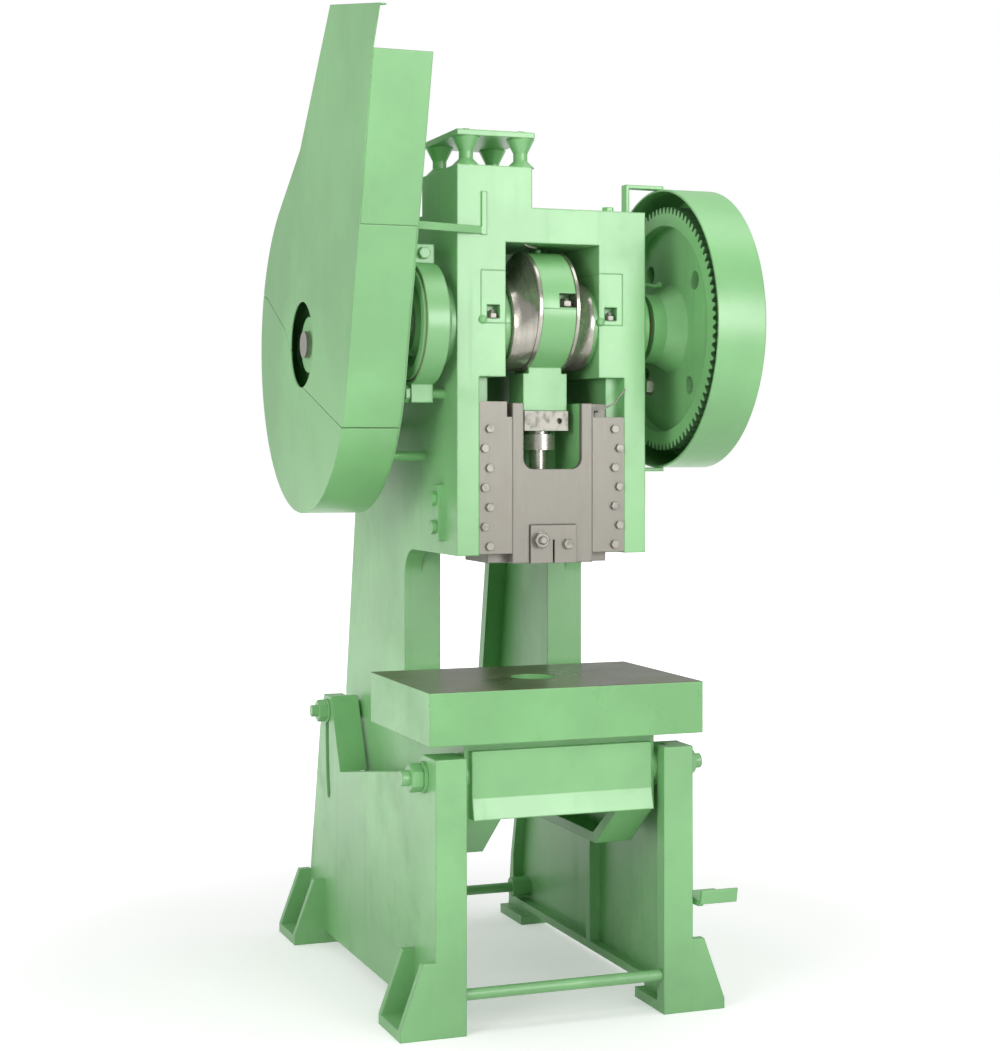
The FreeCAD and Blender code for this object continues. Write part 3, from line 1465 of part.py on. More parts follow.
def guard_strap():
    """The flat arm from the guard to the front of the head, with its upright end."""
    body = doc.addObject("PartDesign::Body", "Strap")
    near = "(head_front - strap)"
    reach = [
        (GUARD_RIGHT, f"{near} - lug * 4"),
        ("-cap_outer", near),
        ("-cap_outer + lug", near),
        ("-cap_outer + lug", "head_front"),
        ("-cap_outer - lug", "head_front"),
        (GUARD_RIGHT, f"{near} - lug * 4 + strap * 1.1"),
    ]
    upright = [("-cap_outer", near), ("-cap_outer + lug", near), ("-cap_outer + lug", "head_front"),
               ("-cap_outer", "head_front")]
    pad(body, "XY_Plane", [reach], "guard_split_z - strap", "guard_split_z + lug")
    pad(body, "XY_Plane", [upright], "guard_split_z - strap * 1.5", "head_top + lug * 2.5")
    return body


node("guard_strap", guard_strap())


# ---------------------------------------------------------------- gear cover
def cover_form(extra, start, end):
    return join(
        bar("x", f"cover_rad + {extra}", start, end, "crank_y", "crank_z"),
        bar("x", f"shaft_rad * 2.2 + {extra}", start, end, SHAFT_Y, SHAFT_Z),
    )


def gear_cover():
    return cut(cover_form("0", "cover_left", COVER_RIGHT),
               cover_form("-cover_sheet", "cover_left", f"{COVER_RIGHT} - cover_sheet"))


def upper_cover_arm():
    """The bent flat from the top of the head to the top of the gear cover."""
    top = "(crank_z + cover_rad)"
    foot = block(f"{CHEEK_INNER} - bolt_rad * 2", "cheek_outer - lug", "crank_y - lug", "crank_y + lug",
                 "head_top",
                 "head_top + cover_arm")
    post = block("cheek_outer - lug", "cheek_outer - lug + cover_arm", "crank_y - lug", "crank_y + lug",
                 "head_top",
                 f"{top} + cover_arm")
    arm = block("cheek_outer - lug", "cover_left + lug", "crank_y - lug", "crank_y + lug", top,
                f"{top} + cover_arm")
    return join(foot, post, arm)


def lower_cover_arm():
    base = "(crank_z - cover_rad)"
    foot = block("cheek_outer", "cheek_outer + cover_arm", "crank_y - lug", "crank_y + lug",
                 f"{base} - cover_arm * 6",
                 base)
    arm = block("cheek_outer", "cover_left + lug", "crank_y - lug", "crank_y + lug",
                f"{base} - cover_arm", base)
    return join(foot, arm)


upper_arm_hole, lower_arm_hole = [hole(*spot) for spot in bracket_spots()]
node("gear_cover", gear_cover())
node("upper_cover_arm", cut(upper_cover_arm(), upper_arm_hole))
node("lower_cover_arm", cut(lower_cover_arm(), lower_arm_hole))


# ---------------------------------------------------------------- motor platform
def motor_plate():
    plate = block("-cheek_outer", "-tower_inner + lug / 2", "head_front", "head_front + plate_depth",
                  PLATE_BOTTOM,
                  "plate_top")
    return cut(plate, *[hole(*spot) for spot in platform_spots()])


node("motor_plate", motor_plate())


# ---------------------------------------------------------------- oil pipes
def link(radius, first, second):
    """A round bar between two points."""
    start = Vector(*(value(text) for text in first))
    end = Vector(*(value(text) for text in second))
    item = bind(doc.addObject("Part::Cylinder", "Link"), Radius=radius)
    item.Height = (end - start).Length
    item.Placement = Placement(start, Rotation(Vector(0, 0, 1), end - start))
    return item


def pipe(radius, points):
    """A thin pipe that bends at each inner point."""
    parts = [link(radius, first, second) for first, second in zip(points, points[1:])]
    return join(*parts, *[ball(radius, *point) for point in points[1:-1]])


GIB_PIPE_Y = "(head_front - strap)"
node("gib_oil_pipe", pipe("strap / 2", [
    ("gib_outer", GIB_PIPE_Y, "gib_top + lug * 5"),
    ("gib_outer - lug * 2", GIB_PIPE_Y, "gib_top + lug * 2.5"),
    ("gib_inner + lug", GIB_PIPE_Y, "gib_top + lug"),
    ("gib_inner + lug", "head_front + gib_thick / 2", "gib_top + lug"),
    ("gib_inner + lug", "head_front + gib_thick / 2", "gib_top"),
]))
HUB_PIPE_Z = "(crank_z + boss_rad + lug)"
hub_pipe = pipe("strap", [
    ("boss_outer - lug * 0.6", "crank_y", "crank_z + boss_rad"),
    ("boss_outer - lug * 0.6", "crank_y", HUB_PIPE_Z),
    ("gear_left - lug * 3", "crank_y", HUB_PIPE_Z),
    ("gear_left - lug * 1.8", "crank_y - lug", f"{HUB_PIPE_Z} - strap"),
    ("gear_left - lug * 0.9", "crank_y - lug", HUB_PIPE_Z),
])
hub_pipe_end = ball("strap * 1.7", "gear_left - lug * 0.9", "crank_y - lug", HUB_PIPE_Z)
node("hub_oil_pipe", join(hub_pipe, hub_pipe_end))


# ---------------------------------------------------------------- treadle and clutch latch
PEDAL_LEFT = "(leg_outer + pedal_arm + gap)"
PEDAL_RIGHT = f"({PEDAL_LEFT} + pedal_arm)"
LATCH_RIGHT = "(latch_left + latch_thick)"


def pedal_bracket():
    boss = bar("x", "pedal_pin_rad * 2.2", "leg_outer", "leg_outer + pedal_arm", "pedal_y", "pedal_z")
    pin = bar("x", "pedal_pin_rad", "leg_outer + pedal_arm", f"{PEDAL_RIGHT} + gap", "pedal_y", "pedal_z")
    head = bar("x", "pedal_pin_rad * 1.7", f"{PEDAL_RIGHT} + gap", f"{PEDAL_RIGHT} + pedal_arm / 2",
               "pedal_y",
               "pedal_z")
    return join(boss, pin, head)


def pedal():
    """The foot lever: a flat arm, an upturned foot plate and the hook that bears on the pull rod."""
    body = doc.addObject("PartDesign::Body", "Lever")
    half = "pedal_pin_rad * 1.3"
    arm = [
        ("pedal_y", f"pedal_z - {half}"),
        ("pedal_toe_y + foot_depth / 2", f"pedal_toe_z - {half}"),
        ("pedal_toe_y + pedal_arm", "pedal_toe_z - pedal_arm"),
        ("pedal_toe_y + pedal_arm", "pedal_toe_z"),
        ("pedal_toe_y + foot_depth / 2", f"pedal_toe_z + {half} / 2"),
        ("pedal_y", f"pedal_z + {half}"),
    ]
    plate = [
        ("pedal_toe_y", "pedal_toe_z + pedal_arm * 2"),
        ("pedal_toe_y + pedal_arm / 2", "pedal_toe_z"),
        ("pedal_toe_y + foot_depth * 0.72", "pedal_toe_z"),
        ("pedal_toe_y + foot_depth * 0.72", "pedal_toe_z - pedal_arm / 2"),
        ("pedal_toe_y", "pedal_toe_z - pedal_arm / 2"),
        ("pedal_toe_y - pedal_arm / 2", "pedal_toe_z + pedal_arm * 2"),
    ]
    pad(body, "YZ_Plane", [arm], PEDAL_LEFT, PEDAL_RIGHT)
    pad(body, "YZ_Plane", [("circle", "pedal_y", "pedal_z", "pedal_pin_rad * 2")], PEDAL_LEFT, PEDAL_RIGHT)
    pad(body, "YZ_Plane", [plate], PEDAL_LEFT, "pedal_tip")
    near = "(pedal_lug_y - pedal_pin_rad * 2)"
    far = "(pedal_lug_y + pedal_pin_rad * 2.4)"
    fork = [(near, "pedal_z + pull_rad * 3"), (far, "pedal_z + pull_rad * 3"),
            (far, "pedal_z - pull_rad * 3"),
            (near, "pedal_z - pull_rad * 3")]
    pad(body, "YZ_Plane", [fork], PEDAL_LEFT, "pull_low_x - pull_rad - gap")
    pocket(body, "YZ_Plane", [("circle", "pedal_y", "pedal_z", "pedal_pin_rad + run_fit")], PEDAL_LEFT,
           PEDAL_RIGHT)
    mouth_half = "(pull_rad * 0.75 + gap * 3)"
    mouth = [
        (near, "pedal_z - pull_rad * 3"),
        (near, "pedal_z"),
        (f"pedal_lug_y - {mouth_half}", f"pedal_z + {mouth_half}"),
        (f"pedal_lug_y + {mouth_half}", f"pedal_z + {mouth_half}"),
        (f"pedal_lug_y + {mouth_half}", "pedal_z - pull_rad * 3"),
    ]
    pocket(body, "YZ_Plane", [mouth], PEDAL_RIGHT, "pull_low_x - pull_rad - gap")
    return body


def pull_rod():
    """The upright between pedal and latch, with a cross pin at each end."""
    low = ("pull_low_x", "pedal_lug_y", "pedal_z")
    knee = ("pull_low_x", "pedal_lug_y", "pull_jog_low")
    bend = ("pull_high_x", "pedal_lug_y", "pull_jog_high")
    high = ("pull_high_x", "pedal_lug_y", "latch_z")
    upright = pipe("pull_rad", [low, knee, bend, high])
    foot = ball("pull_rad", *low)
    crown = ball("pull_rad", *high)
    low_pin = bar("x", "pull_rad * 0.75", f"{PEDAL_RIGHT} + gap * 3", "pull_low_x", "pedal_lug_y", "pedal_z")
    high_pin = bar("x", "pull_rad * 0.75", "latch_left - gap * 5", "pull_high_x", "pedal_lug_y", "latch_z")
    return join(upright, foot, crown, low_pin, high_pin)


def latch():
    """The lever under the gear hub; its nose stands in the way of the clutch key."""
    body = doc.addObject("PartDesign::Body", "Latch")
    hub_base = "(crank_z - gear_hub_rad)"
    half = "latch_thick"
    profile = [
        (f"latch_y - {half} * 2", f"latch_z - {half}"),
        (f"pedal_lug_y + {half} * 1.3", f"latch_z - {half}"),
        (f"pedal_lug_y + {half} * 1.3", f"latch_z + {half}"),
        (f"latch_y + {half} * 4", f"latch_z + {half}"),
        (f"latch_y + {half} * 4", f"{hub_base} - gap * 5"),
        (f"latch_y + {half} * 2.6", f"{hub_base} - gap * 5"),
        (f"latch_y + {half}", f"latch_z + {half} * 1.6"),
        (f"latch_y - {half} * 2", f"latch_z + {half}"),
    ]
    pad(body, "YZ_Plane", [profile], "latch_left", LATCH_RIGHT)
    holes = [("circle", "latch_y", "latch_z", "pedal_pin_rad + run_fit"),
             ("circle", "pedal_lug_y", "latch_z", "pull_rad * 0.75 + run_fit")]
    pocket(body, "YZ_Plane", holes, "latch_left", LATCH_RIGHT)
    return body


node("pedal_bracket", pedal_bracket())
node("pedal", pedal())
node("pull_rod", pull_rod())
node("clutch_latch", latch())


# ---------------------------------------------------------------- check and write
doc.removeObject(probe.Name)
doc.recompute()
for item in doc.Objects:
    if "Invalid" in item.State or "Error" in item.State:
        raise RuntimeError(f"{item.Label} failed: {item.State}")
os.makedirs("parts", exist_ok=True)
for label, item in nodes.items():
    shape = item.Shape
    if shape.isNull() or not shape.isValid() or not shape.Solids:
        raise RuntimeError(f"{label} has no valid solid")
    shape.exportStep(f"parts/{label}.step")
print(f"{len(nodes)} nodes written")
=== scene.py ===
"""Finishes, finer meshes, stage and camera for a geared inclinable power press."""

import math

import bmesh
import bpy
from bpy.props import FloatProperty, FloatVectorProperty, IntProperty, PointerProperty
from mathutils import Matrix, Vector


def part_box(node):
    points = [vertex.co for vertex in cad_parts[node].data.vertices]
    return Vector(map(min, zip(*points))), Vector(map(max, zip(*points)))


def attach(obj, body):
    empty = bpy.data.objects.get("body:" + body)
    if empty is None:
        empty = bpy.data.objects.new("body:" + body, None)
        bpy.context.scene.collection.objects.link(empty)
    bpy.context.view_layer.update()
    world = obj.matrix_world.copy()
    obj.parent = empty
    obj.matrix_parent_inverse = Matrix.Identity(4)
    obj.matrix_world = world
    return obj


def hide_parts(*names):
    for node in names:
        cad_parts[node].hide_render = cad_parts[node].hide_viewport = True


bl_info = {
    "name": "Power Press Dresser",
    "version": (1, 0, 0),
    "blender": (4, 5, 0),
    "location": "View3D > Sidebar > Press",
    "description": "Dresses the packed frame of an inclinable power press with its finishes",
    "category": "Object",
}

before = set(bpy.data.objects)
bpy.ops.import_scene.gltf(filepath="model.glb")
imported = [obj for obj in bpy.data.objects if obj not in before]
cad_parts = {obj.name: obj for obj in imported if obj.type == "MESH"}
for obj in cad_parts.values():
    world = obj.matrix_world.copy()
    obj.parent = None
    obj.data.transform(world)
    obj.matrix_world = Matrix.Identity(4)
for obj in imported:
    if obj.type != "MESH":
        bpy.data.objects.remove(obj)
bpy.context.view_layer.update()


def axis_of(name):
    """The (y, z) of the axis along X that a round CAD node lies about."""
    low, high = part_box(name)
    return (low.y + high.y) / 2, (low.z + high.z) / 2


CRANK_AXIS = axis_of("main_bushes")
SHAFT_AXIS = axis_of("back_shaft")


# ---------------------------------------------------------------- settings
def colour(label, description, default):
    return FloatVectorProperty(name=label, description=description, default=default, subtype="COLOR",
                               min=0, max=1)


def length(label, description, default):
    return FloatProperty(name=label, description=description, default=default, unit="LENGTH", min=0)


class PressFinishes(bpy.types.PropertyGroup):
    paint: colour("Paint", "Machine enamel on castings and sheet metal", (0.245, 0.56, 0.225))
    paint_dust: colour("Paint dust", "Enamel where oil and dust have settled", (0.16, 0.34, 0.15))
    primer: colour("Primer", "What shows where the enamel has worn through", (0.24, 0.25, 0.2))
    iron: colour("Machined iron", "Ram and gibs", (0.215, 0.205, 0.175))
    iron_stain: colour("Iron stain", "Oil film on the machined iron", (0.22, 0.19, 0.15))
    steel: colour("Turned steel", "Crank, screw and shafts", (0.42, 0.40, 0.35))
    steel_film: colour("Steel film", "Old grease on the turned steel", (0.18, 0.17, 0.12))
    bolster: colour("Bolster top", "Ground and oiled upper face of the bolster", (0.13, 0.15, 0.075))
    fastener: colour("Fastener", "Blackened bolts and nuts", (0.2, 0.2, 0.18))
    bright: colour("Bright fitting", "Plated screws, pipes and the lock nut", (0.26, 0.25, 0.215))
    bronze: colour("Bronze", "Bearing bushes", (0.55, 0.38, 0.18))
    lining: colour("Brake lining", "Woven lining of the brake band", (0.13, 0.1, 0.075))


class PressSizes(bpy.types.PropertyGroup):
    edge_width: length("Edge width", "How far the paint rounds over an edge", 0.004)
    wear_width: length("Wear width", "How far paint has worn back from an edge", 0.003)
    ring_pitch: length("Ring pitch", "Spacing of the lathe marks", 0.0012)
    ring_radius: length("Ring radius", "Radius of the crank's rings at the bearings", 0.097)
    side_play: length("Side play", "Room between a thrust ring and its bearing", 0.0006)
    spring_wire: length("Spring wire", "Wire diameter of the brake spring", 0.0028)
    spring_turns: IntProperty(name="Spring turns", description="Turns of the brake spring", default=5, min=2)
    thread_pitch: length("Thread pitch", "Pitch of the threads on studs and screws", 0.0018)
    head_sides: IntProperty(name="Head sides", description="Points around a nut or a screw head",
                            default=36, min=12)


class StageSettings(bpy.types.PropertyGroup):
    camera_place: FloatVectorProperty(name="Camera place", description="Where the camera stands",
                                      default=(-1.580, -4.3365, 1.208), subtype="TRANSLATION", unit="LENGTH")
    camera_yaw: FloatProperty(name="Camera yaw", description="Turn of the camera from +Y towards +X",
                              default=math.radians(20.43), subtype="ANGLE")
    focal_pixels: FloatProperty(name="Focal length", description="Focal length in pixels of the photograph",
                                default=2001.4)
    image_height: FloatProperty(name="Image height", description="Height of the photograph in pixels",
                                default=1051)
    horizon_row: FloatProperty(name="Horizon row", description="Pixel row of the horizon", default=443)
    floor_half: length("Floor half size", "Half the width of the floor", 30)
    floor_colour: colour("Floor", "Pale studio floor", (0.86, 0.86, 0.86))


def finishes():
    return bpy.context.scene.press_finishes


def sizes():
    return bpy.context.scene.press_sizes


# ---------------------------------------------------------------- wiring of shader nodes
class Board:
    """Adds nodes to one node tree and wires them together."""

    def __init__(self, tree):
        self.tree = tree

    def feed(self, socket, value):
        """Links another node's output to a socket, or sets the socket's own value."""
        if isinstance(value, bpy.types.NodeSocket):
            self.tree.links.new(value, socket)
        else:
            socket.default_value = value

    def add(self, kind, options=None, **sockets):
        node = self.tree.nodes.new(kind)
        for name, option in (options or {}).items():
            setattr(node, name, option)
        for name, value in sockets.items():
            self.feed(node.inputs[name.replace("_", " ")], value)
        return node

    def maths(self, operation, *values, clamp=False):
        node = self.add("ShaderNodeMath", {"operation": operation, "use_clamp": clamp})
        for socket, value in zip(node.inputs, values):
            self.feed(socket, value)
        return node.outputs[0]

    def between(self, value, low, high, to_low=0.0, to_high=1.0):
        """The value's place between two limits, smoothed and clamped."""
        node = self.add("ShaderNodeMapRange", {"interpolation_type": "SMOOTHSTEP"}, Value=value,
                        From_Min=low, From_Max=high, To_Min=to_low, To_Max=to_high)
        return node.outputs["Result"]

    def blend(self, factor, first, second):
        """A colour between two colours."""
        node = self.add("ShaderNodeMix", {"data_type": "RGBA"})
        for index, value in ((0, factor), (6, first), (7, second)):
            self.feed(node.inputs[index], value)
        return node.outputs[2]

    def noise(self, vector, scale, detail=4.0, roughness=0.55):
        """Noise of so many lumps to the metre, with its octaves and how strong the finer ones are."""
        node = self.add("ShaderNodeTexNoise", Vector=vector, Scale=scale, Detail=detail, Roughness=roughness)
        return node.outputs["Fac"]

    def place(self):
        """Where a point lies on the piece."""
        return self.add("ShaderNodeTexCoord").outputs["Object"]

    def split(self, vector):
        """The X, Y and Z of a vector."""
        return self.add("ShaderNodeSeparateXYZ", Vector=vector).outputs


def opaque(rgb, factor=1.0):
    """A colour for a socket, made lighter or darker by a factor."""
    return (*(channel * factor for channel in rgb), 1.0)


def new_group(name, inputs, outputs):
    """An empty node group with float inputs and outputs of the given kinds."""
    group = bpy.data.node_groups.new(name, "ShaderNodeTree")
    for label, default in inputs:
        socket = group.interface.new_socket(name=label, in_out="INPUT", socket_type="NodeSocketFloat")
        socket.default_value = default
    for label, kind in outputs:
        group.interface.new_socket(name=label, in_out="OUTPUT", socket_type=kind)
    board = Board(group)
    return board, board.add("NodeGroupInput").outputs, board.add("NodeGroupOutput")


def foundry_skin():
    """The lumps and fine grain of a painted casting."""
    board, given, out = new_group("Foundry Skin", [("Lumps", 9.0), ("Grain", 260.0)],
                                  [("Height", "NodeSocketFloat"), ("Tone", "NodeSocketFloat")])
    spot = board.place()
    lumps = board.noise(spot, given["Lumps"], 3.0)
    grain = board.noise(spot, given["Grain"], 5.0)
    board.feed(out.inputs["Height"], board.maths("MULTIPLY_ADD", grain, 0.12, lumps))
    board.feed(out.inputs["Tone"], board.noise(spot, 3.1, 6.0))


def worn_edges():
    """Finds the edges: a mask for bare spots and a normal that rounds the corner."""
    board, given, out = new_group("Worn Edges", [("Width", 0.003), ("Rounding", 0.004)],
                                  [("Mask", "NodeSocketFloat"), ("Normal", "NodeSocketVector")])
    wide = board.add("ShaderNodeBevel", {"samples": 6}, Radius=given["Width"])
    dot = board.add("ShaderNodeVectorMath", {"operation": "DOT_PRODUCT"})
    board.feed(dot.inputs[0], wide.outputs["Normal"])
    board.feed(dot.inputs[1], board.add("ShaderNodeNewGeometry").outputs["Normal"])
    bent = board.maths("SUBTRACT", 1.0, dot.outputs["Value"])
    patches = board.noise(board.place(), 38.0, 6.0, 0.7)
    mask = board.maths("MULTIPLY", board.between(bent, 0.02, 0.16), board.between(patches, 0.5, 0.66))
    board.feed(out.inputs["Mask"], mask)
    soft = board.add("ShaderNodeBevel", {"samples": 6}, Radius=given["Rounding"])
    board.feed(out.inputs["Normal"], soft.outputs["Normal"])


def shop_dust():
    """Oil and dust: patches all over, runs down the sides, and thicker near the floor."""
    board, given, out = new_group("Shop Dust", [("Cover", 0.5), ("Floor Reach", 0.35)],
                                  [("Mask", "NodeSocketFloat")])
    spot = board.place()
    patches = board.between(board.noise(spot, 5.5, 8.0, 0.62), 0.46, 0.78)
    streaks = board.add("ShaderNodeMapping", {"vector_type": "TEXTURE"}, Vector=spot, Scale=(0.05, 0.05, 0.9))
    runs = board.between(board.noise(streaks.outputs["Vector"], 1.6, 6.0, 0.6), 0.55, 0.8)
    low = board.maths("SUBTRACT", 1.0, board.between(board.split(spot)["Z"], 0.0, given["Floor Reach"]))
    mask = board.maths("ADD", board.maths("MULTIPLY", patches, 0.5), board.maths("MULTIPLY", runs, 0.35))
    mask = board.maths("ADD", mask, board.maths("MULTIPLY", low, 0.35))
    board.feed(out.inputs["Mask"], board.maths("MULTIPLY", mask, given["Cover"], clamp=True))


def lathe_rings():
    """Concentric tool marks about an axis along X."""
    board, given, out = new_group("Lathe Rings", [("Axis Y", 0.0), ("Axis Z", 0.0), ("Pitch", 0.0012)],
                                  [("Height", "NodeSocketFloat"), ("Radius", "NodeSocketFloat"),
                                   ("Tone", "NodeSocketFloat")])
    spot = board.split(board.place())
    across = board.maths("SUBTRACT", spot["Y"], given["Axis Y"])
    above = board.maths("SUBTRACT", spot["Z"], given["Axis Z"])
    square = board.maths("ADD", board.maths("MULTIPLY", across, across),
                         board.maths("MULTIPLY", above, above))
    radius = board.maths("SQRT", square)
    along = board.maths("ADD", radius, spot["X"])
    turns = board.maths("DIVIDE", along, given["Pitch"])
    rings = board.add("ShaderNodeTexNoise", {"noise_dimensions": "1D"}, W=turns, Scale=1.0, Detail=2.0)
    broad = board.add("ShaderNodeTexNoise", {"noise_dimensions": "1D"}, W=along, Scale=90.0, Detail=3.0)
    board.feed(out.inputs["Height"], rings.outputs["Fac"])
    board.feed(out.inputs["Radius"], radius)
    board.feed(out.inputs["Tone"], broad.outputs["Fac"])


def ground_strokes():
    """Straight grinding marks, up and down the machine."""
    board, given, out = new_group("Ground Strokes", [("Fineness", 420.0)],
                                  [("Height", "NodeSocketFloat"), ("Tone", "NodeSocketFloat")])
    spot = board.place()
    stretch = board.add("ShaderNodeMapping", Vector=spot, Scale=(1.0, 1.0, 0.03))
    board.feed(out.inputs["Height"], board.noise(stretch.outputs["Vector"], given["Fineness"], 3.0))
    board.feed(out.inputs["Tone"], board.noise(spot, 14.0, 7.0, 0.65))


def effect(board, name, **values):
    """The outputs of one of the node groups above, set into another tree."""
    return board.add("ShaderNodeGroup", {"node_tree": bpy.data.node_groups[name]}, **values).outputs


def rings_about(board, axis):
    """Tool marks about a shaft's axis."""
    return effect(board, "Lathe Rings", Axis_Y=axis[0], Axis_Z=axis[1], Pitch=sizes().ring_pitch)


# ---------------------------------------------------------------- materials
def new_material(name):
    material = bpy.data.materials.new(name)
    material.use_nodes = True
    return Board(material.node_tree), material.node_tree.nodes["Principled BSDF"]


def surface(board, shader, tone, rough, metallic=0.0):
    """Feeds the three sockets that every finish uses."""
    board.feed(shader.inputs["Base Color"], tone)
    board.feed(shader.inputs["Roughness"], rough)
    board.feed(shader.inputs["Metallic"], metallic)


def bumped(board, shader, height, strength, distance, normal=None):
    """Raises the finish by a height, on top of a normal where one is given."""
    bump = board.add("ShaderNodeBump", Strength=strength, Distance=distance, Height=height)
    if normal is not None:
        board.feed(bump.inputs["Normal"], normal)
    board.feed(shader.inputs["Normal"], bump.outputs["Normal"])


def paint_layers(board, shader, dust_cover):
    """Enamel over cast iron: tone, dust, worn edges. Returns the colour and the roughness."""
    tints = finishes()
    skin = effect(board, "Foundry Skin")
    edges = effect(board, "Worn Edges", Width=sizes().wear_width, Rounding=sizes().edge_width)
    dust = effect(board, "Shop Dust", Cover=dust_cover)
    dark, light = opaque(tints.paint, 0.9), opaque(tints.paint, 1.08)
    enamel = board.blend(board.between(skin["Tone"], 0.35, 0.65), dark, light)
    dusty = board.blend(dust["Mask"], enamel, opaque(tints.paint_dust))
    worn = board.blend(board.maths("MULTIPLY", edges["Mask"], 0.8), dusty, opaque(tints.primer))
    bumped(board, shader, skin["Height"], 0.35, 0.0012, edges["Normal"])
    return worn, board.maths("MULTIPLY_ADD", dust["Mask"], 0.35, 0.34)


def enamel_material(name, dust_cover):
    """Paint all over, with more or less dust."""
    board, shader = new_material(name)
    surface(board, shader, *paint_layers(board, shader, dust_cover))
    shader.inputs["Specular IOR Level"].default_value = 0.66


def gear_material(name):
    """Enamel on the web and rim; the teeth's flanks get the enamel darkened, as painted shade between the
    teeth.
    """
    board, shader = new_material(name)
    tone, rough = paint_layers(board, shader, 0.6)
    normal = board.split(board.add("ShaderNodeNewGeometry").outputs["Normal"])
    flank = board.maths("LESS_THAN", board.maths("ABSOLUTE", normal["X"]), 0.6)
    rim_radius, tooth_radius = 0.249, 0.252
    outside = board.between(rings_about(board, CRANK_AXIS)["Radius"], rim_radius, tooth_radius)
    # Painted shade: tooth flanks beyond the rim take the enamel at 0.35 of its brightness, standing in for
    # the shade between the teeth
    painted_tooth_shade = board.maths("MULTIPLY", flank, outside)
    surface(board, shader, board.blend(painted_tooth_shade, tone, opaque(finishes().paint, 0.35)), rough)


def bolster_material(name):
    """Enamel on the four sides; the ground top is bare and dark with oil."""
    board, shader = new_material(name)
    tone, rough = paint_layers(board, shader, 0.35)
    oiled = finishes().bolster
    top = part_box("bolster_plate")[1].z
    depth = 0.0004
    spot = board.place()
    bare = board.between(board.split(spot)["Z"], top - 2 * depth, top - depth)
    film = board.between(board.noise(spot, 9.0, 9.0, 0.66), 0.38, 0.66)
    strokes = board.add("ShaderNodeMapping", Vector=spot, Scale=(0.02, 1.0, 1.0))
    marks = board.between(board.noise(strokes.outputs["Vector"], 500.0, 2.0), 0.55, 0.8)
    ground = board.blend(film, opaque(oiled), opaque(oiled, 0.5))
    ground = board.blend(marks, ground, opaque(oiled, 1.6))
    sheen = board.maths("SUBTRACT", rough, board.maths("MULTIPLY", film, 0.08))
    surface(board, shader, board.blend(bare, tone, ground), sheen)
    shader.inputs["Specular IOR Level"].default_value = 0.35


def ground_iron(board, strokes):
    """The colour and the roughness of machined iron with its oil stains."""
    stain = board.maths("MULTIPLY", board.between(strokes["Tone"], 0.5, 0.74), 0.55)
    tone = board.blend(stain, opaque(finishes().iron), opaque(finishes().iron_stain))
    return tone, board.maths("MULTIPLY_ADD", strokes["Height"], 0.2, 0.34)


def machined_iron(name):
    """Bare ground iron with bright edges."""
    board, shader = new_material(name)
    strokes = effect(board, "Ground Strokes")
    edges = effect(board, "Worn Edges", Width=0.002, Rounding=0.0015)
    tone, rough = ground_iron(board, strokes)
    tone = board.blend(board.maths("MULTIPLY", edges["Mask"], 0.5), tone, opaque(finishes().iron, 1.4))
    surface(board, shader, tone, rough, 0.35)
    bumped(board, shader, strokes["Height"], 0.25, 0.0004, edges["Normal"])


def ram_material(name):
    """Machined iron outside; the well behind the window is painted."""
    board, shader = new_material(name)
    iron, ground = ground_iron(board, effect(board, "Ground Strokes"))
    paint, rough = paint_layers(board, shader, 0.5)
    spot = board.split(board.place())
    low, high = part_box("ball_retainer")
    room = 0.001
    well = board.maths("LESS_THAN", board.maths("ABSOLUTE", spot["X"]), high.x + room)
    for limit in (board.maths("GREATER_THAN", spot["Y"], low.y - room),
                  board.maths("LESS_THAN", spot["Y"], high.y + room),
                  board.maths("GREATER_THAN", spot["Z"], low.z - room)):
        well = board.maths("MULTIPLY", well, limit)
    metallic = board.maths("MULTIPLY", board.maths("SUBTRACT", 1.0, well), 0.3)
    surface(board, shader, board.blend(well, iron, paint), board.maths("MAXIMUM", rough, ground), metallic)


def turned_steel(name, axis, roughness):
    """Steel with tool marks about its axis and patches of old grease."""
    board, shader = new_material(name)
    rings = rings_about(board, axis)
    grease = board.between(board.noise(board.place(), 16.0, 7.0, 0.65), 0.48, 0.74)
    bands = board.between(rings["Tone"], 0.3, 0.7)
    metal = board.blend(bands, opaque(finishes().steel, 0.82), opaque(finishes().steel))
    tone = board.blend(board.maths("MULTIPLY", grease, 0.6), metal, opaque(finishes().steel_film))
    surface(board, shader, tone, board.maths("MULTIPLY_ADD", grease, 0.25, roughness), 0.8)
    bumped(board, shader, rings["Height"], 0.3, 0.0002)


def fastener_steel(name):
    """Blackened steel, worn bright at its edges."""
    board, shader = new_material(name)
    edges = effect(board, "Worn Edges", Width=0.0015, Rounding=0.001)
    patches = board.between(board.noise(board.place(), 120.0, 5.0), 0.45, 0.7)
    tone = board.blend(patches, opaque(finishes().fastener), opaque(finishes().fastener, 1.7))
    tone = board.blend(edges["Mask"], tone, opaque(finishes().steel))
    surface(board, shader, tone, board.maths("MULTIPLY_ADD", patches, 0.2, 0.32), 0.75)
    bumped(board, shader, patches, 0.2, 0.0003, edges["Normal"])


def bright_fitting(name, tint, metallic, roughness):
    """Plated or drawn steel with a soft shine, a little oily."""
    board, shader = new_material(name)
    spot = board.place()
    edges = effect(board, "Worn Edges", Width=0.001, Rounding=0.0008)
    film = board.between(board.noise(spot, 60.0, 6.0, 0.6), 0.48, 0.76)
    tone = board.blend(board.maths("MULTIPLY", film, 0.6), opaque(tint), opaque(tint, 0.5))
    surface(board, shader, tone, board.maths("MULTIPLY_ADD", film, 0.22, roughness), metallic)
    bumped(board, shader, board.noise(spot, 400.0, 3.0), 0.15, 0.0002, edges["Normal"])


